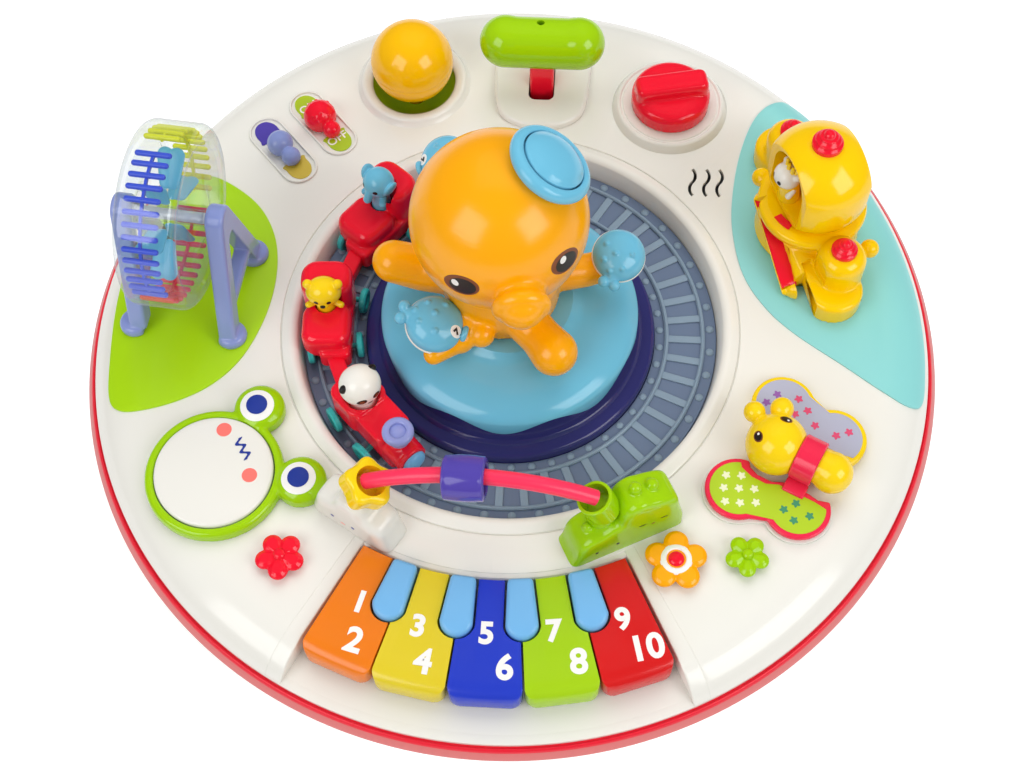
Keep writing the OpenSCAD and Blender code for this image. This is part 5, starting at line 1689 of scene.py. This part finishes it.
@dataclass
class Controls:
    """The joystick, T lever, rotary knob and slide switches.

    Attributes:
        stick: The joystick's place on the deck.
        lever: The lever's place.
        knob: The knob's place.
    """

    stick: tuple[float, float] = (-66.5, 161.5)
    lever: tuple[float, float] = (9.5, 164.0)
    knob: tuple[float, float] = (85.0, 150.0)

    def build(self) -> None:
        """Builds the four kinds of control."""
        x, y = self.stick
        home = moved(x, y, DECK)
        dish = arc(0, 18, 31.6, -31, -76, 14) + arc(0, 18, 30, -76, -33, 14)
        parts = [turned("dish", dish, 96)]
        for side in (-1, 1):
            parts.append(block((4, 10, 13), (side * 17, 0, -16.5), 0.6))
        ready(place(join(parts, "dish"), home), "joystick_bowl", DISH_GREEN, "table", "joystick_dish")
        half = arc(0, 20, 24, -90, -1.2, 24) + [(23.8, 20)] + arc(0, 20, 24, 1.2, 90, 24)
        globe = turned("globe", half, 96)
        rod = cylinder(4, -22, -2, 32)
        pin = place(
            cylinder(2, -12.8, 12.8, 24), frame_at((0, 0, -18), (0, 1, 0))
        )
        ready(place(join([globe, rod, pin], "stick"), home), "joystick_globe", BALL_YELLOW, "stick", "joystick_ball")
        self.t_lever()
        self.rotary()
        self.slides()

    def t_lever(self) -> None:
        """Builds the red stem and the green cross handle."""
        x, y = self.lever
        home = moved(x, y, DECK)
        stem = block((14, 13.6, 52), (0, 0, 3), 1.6)
        boss = place(cylinder(6.8, -7, 7, 40), frame_at((0, 0, -23), (1, 0, 0)))
        pin = place(cylinder(2.5, -12, 12, 32), frame_at((0, 0, -23), (1, 0, 0)))
        ready(place(join([stem, boss, pin], "stem"), home), "lever_stem", RED, "lever")
        handle = fuse("handle", [
            bar((-19, 0, 37), (19, 0, 37), 14.6), bar((-21, 0, 37.6), (-14, 0, 37), 15.0, 14.4),
            bar((14, 0, 37), (21, 0, 37.6), 14.4, 15.0)
        ], 0.8, 6)
        hole = place(cylinder(2.2, 40, 60, 32), moved(-1, 3))
        carve(handle, hole)
        ready(place(handle, home), "lever_handle", LIME, "lever", "t_lever", angle=50)

    def rotary(self) -> None:
        """Builds the knob with its ridge."""
        x, y = self.knob
        home = moved(x, y, DECK)
        profile = [(0, 5.4), (22.4, 5.4), (23, 6.2)] + curve(
            (23, 11), (22.6, 15.4), (20, 17.4), (14, 17.8), 8
        ) + [(0, 18)]
        body = turned("body", profile, 96)
        ridge = block((42, 15, 14), (0, 0, 18.5), 4.0, 12)
        knob = fuse("knob", [body, ridge], 0.75, 5)
        limit = cylinder(22.6, 0, 40, 96)
        carve(knob, limit, keep="INTERSECT")
        spindle = cylinder(4, -14, 8, 32)
        ready(place(join([knob, spindle], "knob"), home), "knob_body", RED, "knob", "rotary_knob", angle=50)

    def slides(self) -> None:
        """Builds the two slide knobs."""
        for name, at, r1, r2, d, finish in (
            ("red", (-117.5, 129, DECK), 9.6, 5.2, 11.5, RED),
            ("lavender", (-138.5, 108.5, DECK), 7.6, 5.6, 11.0, LAVENDER),
        ):
            parts = [
                ball((-2, 0, 5), r1), ball((d - 2, 0, 4), r2), bar((-2, 0, 3.6), (d - 2, 0, 3.6), r2 * 0.8)
            ]
            if name == "lavender":
                parts.append(block((5, 10, 5), (d - 1, 0, 3.4), 1.4))
            else:
                for i in range(14):
                    a, h = i * 2.4, 0.25 + 0.05 * i
                    flat = math.sqrt(1 - h * h)
                    parts.append(ball((-2 + 8.6 * flat * math.cos(a), 8.6 * flat * math.sin(a), 5 + 8.6 * h), 1.5))
            floor = plate("cutter", [(-40, -40), (40, -40), (40, 40), (-40, 40)], -30, 0.6)
            obj = fuse(name, parts, 0.45, 3, [floor])
            stem = turned("stem", [(0, -6), (4.2, -6), (4.2, -3.6), (2.5, -3.6), (2.5, 2.5), (0, 2.5)], 32)
            obj = place(join([obj, stem], name), frame_at(at, turn=SLIDE_TURN))
            ready(obj, f"slide_knob_{name}", finish, f"{name}_slider", f"slider_{name}", angle=60)


# ---------------- keyboard


@dataclass
class Keyboard:
    """Five wide keys with digits and four short keys between them.

    Attributes:
        step: Angle of one wide key.
        back: Radius of the keys' back.
        front: Radius of the wide keys' front.
        gap: Gap between the keys.
    """

    step: float = 10.45
    back: float = 151.0
    front: float = 213.0
    gap: float = 0.8

    def sharp_outline(self, turn: float, grow: float) -> list[tuple[float, float]]:
        """Gives a short key's outline: narrow at the back, round at the front."""
        points = [(self.back - grow, -6.4 - grow)] + [
            (174 + p, q) for p, q in arc(0, 0, 8.4 + grow, -80, 80, 20)
        ] + [(self.back - grow, 6.4 + grow)]
        c, s = polar(1, turn)
        return [(x * c - y * s, x * s + y * c) for x, y in points]

    def build(self) -> None:
        """Builds all nine keys."""
        offsets = (-16.8, -5.35, 5.35, 16.8)
        for i, (name, colour, glow, slot, digits) in enumerate((
            ("orange", (238, 126, 22), 0.15, "key_orange", ((1, -66, -164), (2, -67, -184))),
            ("yellow", (226, 204, 44), 0.15, "key_yellow", ((3, -36, -175), (4, -32, -193))),
            ("blue", (38, 62, 196), 0.1, "key_blue", ((5, -2, -177), (6, 8, -194))),
            ("green", (166, 208, 20), 0.15, "green", ((7, 31, -174), (8, 44, -189))),
            ("red", (214, 26, 26), 0.15, "red", ((9, 65, -166), (10, 77, -180))),
        )):
            finish = Plastic(f"key_{name}", colour, Shine.GLOW, 0.08, 0.02, glow, slot=f"{slot}_plastic")
            key = self.wide(i, offsets)
            ready(key, f"wide_key_{name}", finish, f"{name}_key", f"key_{name}", angle=50)
            for value, x, y in digits:
                mark = words(str(value), 13.0 if value % 2 == 0 else 11.4, 0.6)
                printed(mark, key, frame_at((x + 1, y - 2.5, 100), turn=(i - 2) * 7.0), 0.16, 40)
                ready(mark, f"digit_{value}", INK_WHITE, f"{name}_key")
        for i, offset in enumerate(offsets):
            obj = plate("sharp", self.sharp_outline(offset - 90, 0), -10.6 + DECK, DECK + 7.4, 2.2)
            c, s = polar(1, offset - 90)
            for vertex in obj.data.vertices:
                x, y, z = vertex.co / MM
                along = x * c + y * s
                if z > DECK and along > 168:
                    vertex.co.z -= (along - 168) ** 2 * 0.011 * MM
            ready(obj, f"short_key_{i + 1}", SKY, f"sharp_key_{i + 1}", f"sharp_{i + 1}", angle=50)

    def wide(self, i: int, offsets: Sequence[float]) -> Piece:
        """Builds a wide key, notched for its short neighbours.

        Args:
            i: Its number from the left.
            offsets: The short keys' directions.

        Returns:
            The key's body.
        """
        half, trim, f = self.step / 2, self.gap / 2, self.front
        mid = math.radians(-90 + (i - 2) * self.step)
        profile = [(self.back, DECK - 10.6), (f, DECK - 10.6)] + curve(
            (f, DECK - 6), (f, DECK + 1.4), (f - 2.5, DECK + 3.4), (f - 10, DECK + 3.6), 6
        ) + [(self.back, DECK + 3.6)]
        obj = turned("key", profile, 12, 2 * half, math.degrees(mid) - half)
        reach = math.tan(math.radians(half))
        corner, wide = (f - 6.8, (f - 6.8) * reach - trim - 6.2), 140 * reach - trim
        edge = [(140, -wide)] + arc(
            corner[0], -corner[1], 6.2, -84, 0, 6
        ) + arc(*corner, 6.2, 0, 84, 6) + [(140, wide)]
        carve(obj, place(plate("cutter", edge, 50, 95), Matrix.Rotation(mid, 4, "Z")), keep="INTERSECT")
        near = [o for o in offsets if abs(o - (i - 2) * self.step) < 9]
        carve(obj, *(plate("cutter", self.sharp_outline(o - 90, self.gap + 0.3), 50, 95) for o in near))
        soften(obj, 1.8, 4, 55)
        return obj


# ---------------- train


@dataclass
class Train:
    """The engine and two cars with their riders and wheels.

    Attributes:
        radius: The radius of the circle that it runs on.
        cars: The angles of engine, middle and rear car.
        axles: The angles of the six axles.
        top: Height of the track's floor.
        riders_at: Place, head's height, head's and body's radius of each rider.
        seat_limit: The largest radius of a seat inside a car's walls.
    """

    radius: float = 97.3
    cars: tuple[float, float, float] = (224.6, 182.8, 142.0)
    axles: tuple[float, ...] = (228.1, 214.5, 191.0, 171.5, 151.5, 133.0)
    top: float = DECK - 11.3
    riders_at: tuple[tuple[float, ...], ...] = (
        (-4.9, -11.7, 38.3, 10.9, 8), (2, -4, 37.4, 8.3, 6), (3, -5.5, 44.3, 8.6, 6)
    )
    seat_limit: float = 9.9

    def spot(self, angle: float) -> Matrix:
        """Gives the frame of a car: X outwards, Y along the way round."""
        return rotated(angle) @ moved(self.radius, 0, self.top)

    def shell(
        self, width: float, length: float, low: float, high: float, x: float, y: float, corner: float,
        soft: float = 2.6
    ) -> Piece:
        """Makes a block of a car's body with round corners and a soft top.

        Args:
            width: Its size across the track.
            length: Its size along the track.
            low: Its underside's height over the track.
            high: Its top's height.
            x: Its middle, outwards from the car's own middle.
            y: Its middle, forwards.
            corner: The radius of its upright corners.
            soft: The radius of its upper and lower edges.

        Returns:
            The block.
        """
        w, h = width / 2 - corner, length / 2 - corner
        edge = []
        for i, (across, along) in enumerate(((w, h), (-w, h), (-w, -h), (w, -h))):
            edge += arc(across, along, corner, 90 * i, 90 * i + 90, 6)
        return place(plate("shell", edge, low, high, soft), moved(x, y))

    def seat(self, i: int) -> Piece:
        """Makes the cutter for a rider's seat."""
        x, y, z, head, body = self.riders_at[i]
        step = z - head - 2.2
        wide = min(head + 0.9, self.seat_limit)
        hollow = [(0, 18.9), (body + 0.4, 18.9), (body + 0.4, step), (wide, step), (wide, 60), (0, 60)]
        return place(turned("cutter", hollow, 48), moved(x, y))

    def build(self) -> None:
        """Builds cars, links, riders and wheels."""
        self.engine()
        for i in (1, 2):
            self.wagon(i)
        links = []
        for a in (204.25, 163.25):
            links.append(block((9, 31, 8), (*polar(96, a), self.top + 10), 1.4, a))
        ready(join(links, "links"), "train_links", RED, "train", "train_cars")
        self.riders()
        for i, angle in enumerate(self.axles):
            self.wheels(i + 1, angle)

    def engine(self) -> None:
        """Builds the engine with its seat, chimney and lamp."""
        base = self.spot(self.cars[0])
        parts = [
            self.shell(17, 46, 4, 17.5, -3.1, 1, 3), self.shell(24, 24, 9, 29, -4.2, -14, 6, 1.6),
            self.shell(21, 25, 9, 27, -4.4, 4.5, 3.4, 1.6),
            place(
                turned("boiler", [
                    (0, -18), (8.4, -18), (8.8, -17), (8.8, -2.4), (8.2, -1.8), (8.2, -1.2), (8.8, -0.8),
                    (8.4, 0), (0, 0)
                ], 48),
                frame_at((-3.5, 31, 16), (0, 1, 0))
            ),
            bar((-3.5, 20.5, 16), (-3.5, 20.5, 25), 5.4, caps=False),
        ]
        obj = place(fuse("engine", parts, 0.6, 3, [self.seat(0)]), base)
        ready(obj, "engine_body", RED, "train", angle=50)
        funnel = [
            (0, 25.1), (5.4, 25.1), (5.4, 31)
        ] + arc(6.0, 33.6, 2.4, -70, 130, 12) + [(4.2, 34), (2.6, 34.6), (0, 35.4)]
        ready(
            place(turned("funnel", funnel, 48), base @ moved(-3.5, 20.5)), "engine_funnel", LILAC, "train",
            "train_riders"
        )
        lamp = place(
            turned("lamp", [(0, 0.1)] + curve((6.8, 0.1), (6.9, 2.2), (5.6, 3.4), (0, 4.0), 8), 48),
            frame_at((-3.5, 31.1, 16), (0, 1, 0))
        )
        ready(place(lamp, base), "engine_lamp", SKY, "train")

    def wagon(self, i: int) -> None:
        """Builds one open wagon with a high back."""
        base = self.spot(self.cars[i])
        x, high = ((1.5, 38), (3.0, 39.5))[i - 1]
        parts = [
            self.shell(17, 45.5, 4, 17.5, -3.1, 1.7, 3), self.shell(27, 27, 7, 25.8, x, 7.5, 8, 5.6),
            self.shell(28, 22, 7, high, x, -14, 9, 5.2),
        ]
        obj = place(fuse("wagon", parts, 0.6, 4, [self.seat(i)]), base)
        ready(obj, f"wagon_{i}_body", RED, "train", angle=50)

    def riders(self) -> None:
        """Builds panda, bear cub and elephant with their faces."""
        for i, (name, finish) in enumerate((("panda", PANDA_WHITE), ("cub", BEAR_YELLOW), ("elephant", SEA))):
            x, y, z, r, low = self.riders_at[i]
            base = self.spot(self.cars[i]) @ moved(x, y)
            parts = [
                ball((0, 0, z), r, (1.16 if name == "cub" else 1.03, 1, 0.97)),
                bar((0, 0, 19.3), (0, 0, z - r * 0.6), low - 0.3, low - 1.2, caps=False)
            ]
            if name == "cub":
                for t in (-1, 1):
                    parts += [ball((t * 8, -1, z + 5.6), 2.7), bar((t * 5.4, 2, z - 7.6), (t * 8.8, 3.6, z - 8), 1.8)]
                parts.append(ball((0, 6.4, z - 2.6), 2.9, (1.25, 1, 0.8)))
            if name == "elephant":
                parts.append(bar((0, 7, z - 2), (0, 9.6, z - 6), 2.8, 2.4))
                for t in (-1, 1):
                    ear = ball((0, 0, 0), 5.5, (0.36, 0.85, 1.12))
                    parts.append(place(ear, moved(t * 8.2, -0.5, z + 0.4) @ Matrix.Rotation(t * 0.35, 4, "Y")))
                    parts.append(bar((t * 4.4, 2, z - 8.6), (t * 6.6, 5.2, z - 9.4), 2.1))
            obj = place(fuse(name, parts, 0.42, 2), base)
            ready(obj, f"rider_{name}", finish, "train")
            if name == "panda":
                for t in (-1, 1):
                    end = "a" if t < 0 else "b"
                    ready(
                        place(ball((t * 9, -1, z + 4.8), 2.6, (1.1, 0.8, 1)), base), f"panda_ear_{end}", BLACK,
                        "train"
                    )
                    patch = printed(
                        disc(2.5, 1.8, 1, 24), obj, base @ frame_at((1.5 + t * 4.2, 26, z + 0.4), (0, 1, 0), t * 24),
                        0.04, 40
                    )
                    ready(patch, f"panda_patch_{end}", BLACK, "train")
            ink, wide, drop, nose = {
                "panda": (BROWN, 4.2, 0.5, -2.8), "cub": (BLACK, 3.4, 0.6, -1.6), "elephant": (BLACK, 4.4, 1.2, 0)
            }[name]
            for j, (dx, dz, size) in enumerate(
                ((-wide, drop, 1.1), (wide, drop, 1.1), (0, nose, 1.3))[: 2 + bool(nose)]
            ):
                shape = disc(size * 1.1, size * (0.7 if j == 2 else 1), 1, 20)
                printed(shape, obj, base @ frame_at((dx + 1.5 * (i == 0), 26, z + dz), (0, 1, 0)), 0.12, 40)
                ready(shape, f"{name}_dot_{j}", BLACK if j == 2 else ink, "train")

    def wheels(self, number: int, angle: float) -> None:
        """Builds one wheel set: an axle with two dished wheels."""
        height = self.top + 7.1
        parts = [cylinder(1.5, 81.8, 109.8, 24)]
        for low in (80.8, 107.6):
            face = [
                (0, 0.9), (3.4, 0.9), (4.6, 0), (6.2, 0), (7, 0.7), (7, 2.9), (6.2, 3.6), (4.6, 3.6), (3.4, 2.7),
                (0, 2.7)
            ]
            parts.append(turned("wheel", [(r, low + z) for r, z in face], 40))
        obj = join(parts, "wheels")
        place(obj, rotated(angle) @ moved(0, 0, height) @ rotated(90, "Y"))
        ready(obj, f"wheel_pair_{number}", WHEEL, f"wheels_{number}", f"wheels_{number}")


# ---------------- scene


class Studio:
    """The pale floor, the soft lights and the camera."""

    def build(self) -> None:
        """Sets up world, floor, lights and camera."""
        scene = bpy.context.scene
        scene.view_settings.view_transform = "Standard"
        self.world(scene)
        self.floor()
        for name, at, size, power, target in (
            ("left_window", (-0.95, -1.0, 1.15), 1.1, 11.2, (0, 0, 0.12)),
            ("right_window", (1.15, -0.72, 1.05), 0.92, 9.5, (0, 0, 0.12)),
            ("overhead", (0.05, 0.85, 1.5), 1.6, 15.5, (0, 0.05, 0.05)),
        ):
            self.light(name, at, size, power, target)
        self.camera(scene)

    def world(self, scene: bpy.types.Scene) -> None:
        """Makes an even pale world that looks white to the camera."""
        world = bpy.data.worlds.new("studio")
        world.use_nodes = True
        scene.world = world
        nodes, link = world.node_tree.nodes, world.node_tree.links.new
        back = nodes["Background"]
        back.inputs["Color"].default_value = (1, 1, 1, 1)
        path = nodes.new("ShaderNodeLightPath")
        mix = nodes.new("ShaderNodeMath")
        mix.operation = "MAXIMUM"
        link(path.outputs["Is Camera Ray"], mix.inputs[0])
        link(path.outputs["Is Transmission Ray"], mix.inputs[1])
        dim = nodes.new("ShaderNodeMapRange")
        fill(dim, {"To Min": 0.4, "To Max": 0.1})
        link(path.outputs["Is Glossy Ray"], dim.inputs["Value"])
        level = nodes.new("ShaderNodeMapRange")
        level.inputs["To Max"].default_value = 1.0
        link(dim.outputs["Result"], level.inputs["To Min"])
        link(mix.outputs[0], level.inputs["Value"])
        link(level.outputs["Result"], back.inputs["Strength"])

    def floor(self) -> None:
        """Lays a wide white floor that keeps the table's shadow."""
        clear()
        bpy.ops.mesh.primitive_plane_add(size=8.0)
        floor = bpy.context.object
        floor.name = "floor"
        material = bpy.data.materials.new("floor_white")
        material.use_nodes = True
        nodes, link = material.node_tree.nodes, material.node_tree.links.new
        shader = nodes["Principled BSDF"]
        fill(shader, {"Base Color": (0.9, 0.9, 0.9, 1), "Roughness": 0.8, "Emission Color": (1, 1, 1, 1)})
        path = nodes.new("ShaderNodeLightPath")
        level = nodes.new("ShaderNodeMapRange")
        level.inputs["To Max"].default_value = 0.35
        link(path.outputs["Is Camera Ray"], level.inputs["Value"])
        link(level.outputs["Result"], shader.inputs["Emission Strength"])
        floor.data.materials.append(material)

    def light(self, name: str, at: Point, size: float, power: float, target: Point) -> None:
        """Adds one square soft light that looks at a point."""
        clear()
        bpy.ops.object.light_add(type="AREA", location=at)
        lamp = bpy.context.object
        lamp.name = name
        lamp.data.shape = "SQUARE"
        lamp.data.size = size
        lamp.data.energy = power
        lamp.visible_glossy = name != "overhead"
        way = Vector(target) - Vector(at)
        lamp.rotation_euler = way.to_track_quat("-Z", "Y").to_euler()

    def camera(self, scene: bpy.types.Scene) -> None:
        """Puts the camera where the table is seen from above its keyboard."""
        clear()
        bpy.ops.object.camera_add()
        camera = bpy.context.object
        camera.data.sensor_width = 36.0
        camera.data.lens = 56.25
        eye = Vector((0.03816, -0.43619, 0.83253))
        ahead = (Vector((0, 0, 0.055)) - eye).normalized()
        right = ahead.cross(Vector((0, 0, 1))).normalized()
        up = right.cross(ahead)
        dip, roll = math.radians(-1.569), math.radians(1.8709)
        ahead, up = ahead * math.cos(dip) + up * math.sin(dip), up * math.cos(dip) - ahead * math.sin(dip)
        right, up = right * math.cos(roll) - up * math.sin(roll), right * math.sin(roll) + up * math.cos(roll)
        turn = Matrix((right, up, -ahead)).transposed().to_4x4()
        camera.matrix_world = Matrix.Translation(eye) @ turn
        scene.camera = camera


def main() -> None:
    """Loads the frame and builds every sub-assembly in order."""
    logging.basicConfig(level=logging.INFO)
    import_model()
    Studio().build()
    for part in (Deck(), Track(), Octopus(), Drum(), Castle(), Arch(), Buttons(), Controls(), Keyboard(), Train()):
        part.build()
        LOG.info("%s is built", type(part).__name__)


if __name__ == "__main__":
    main()
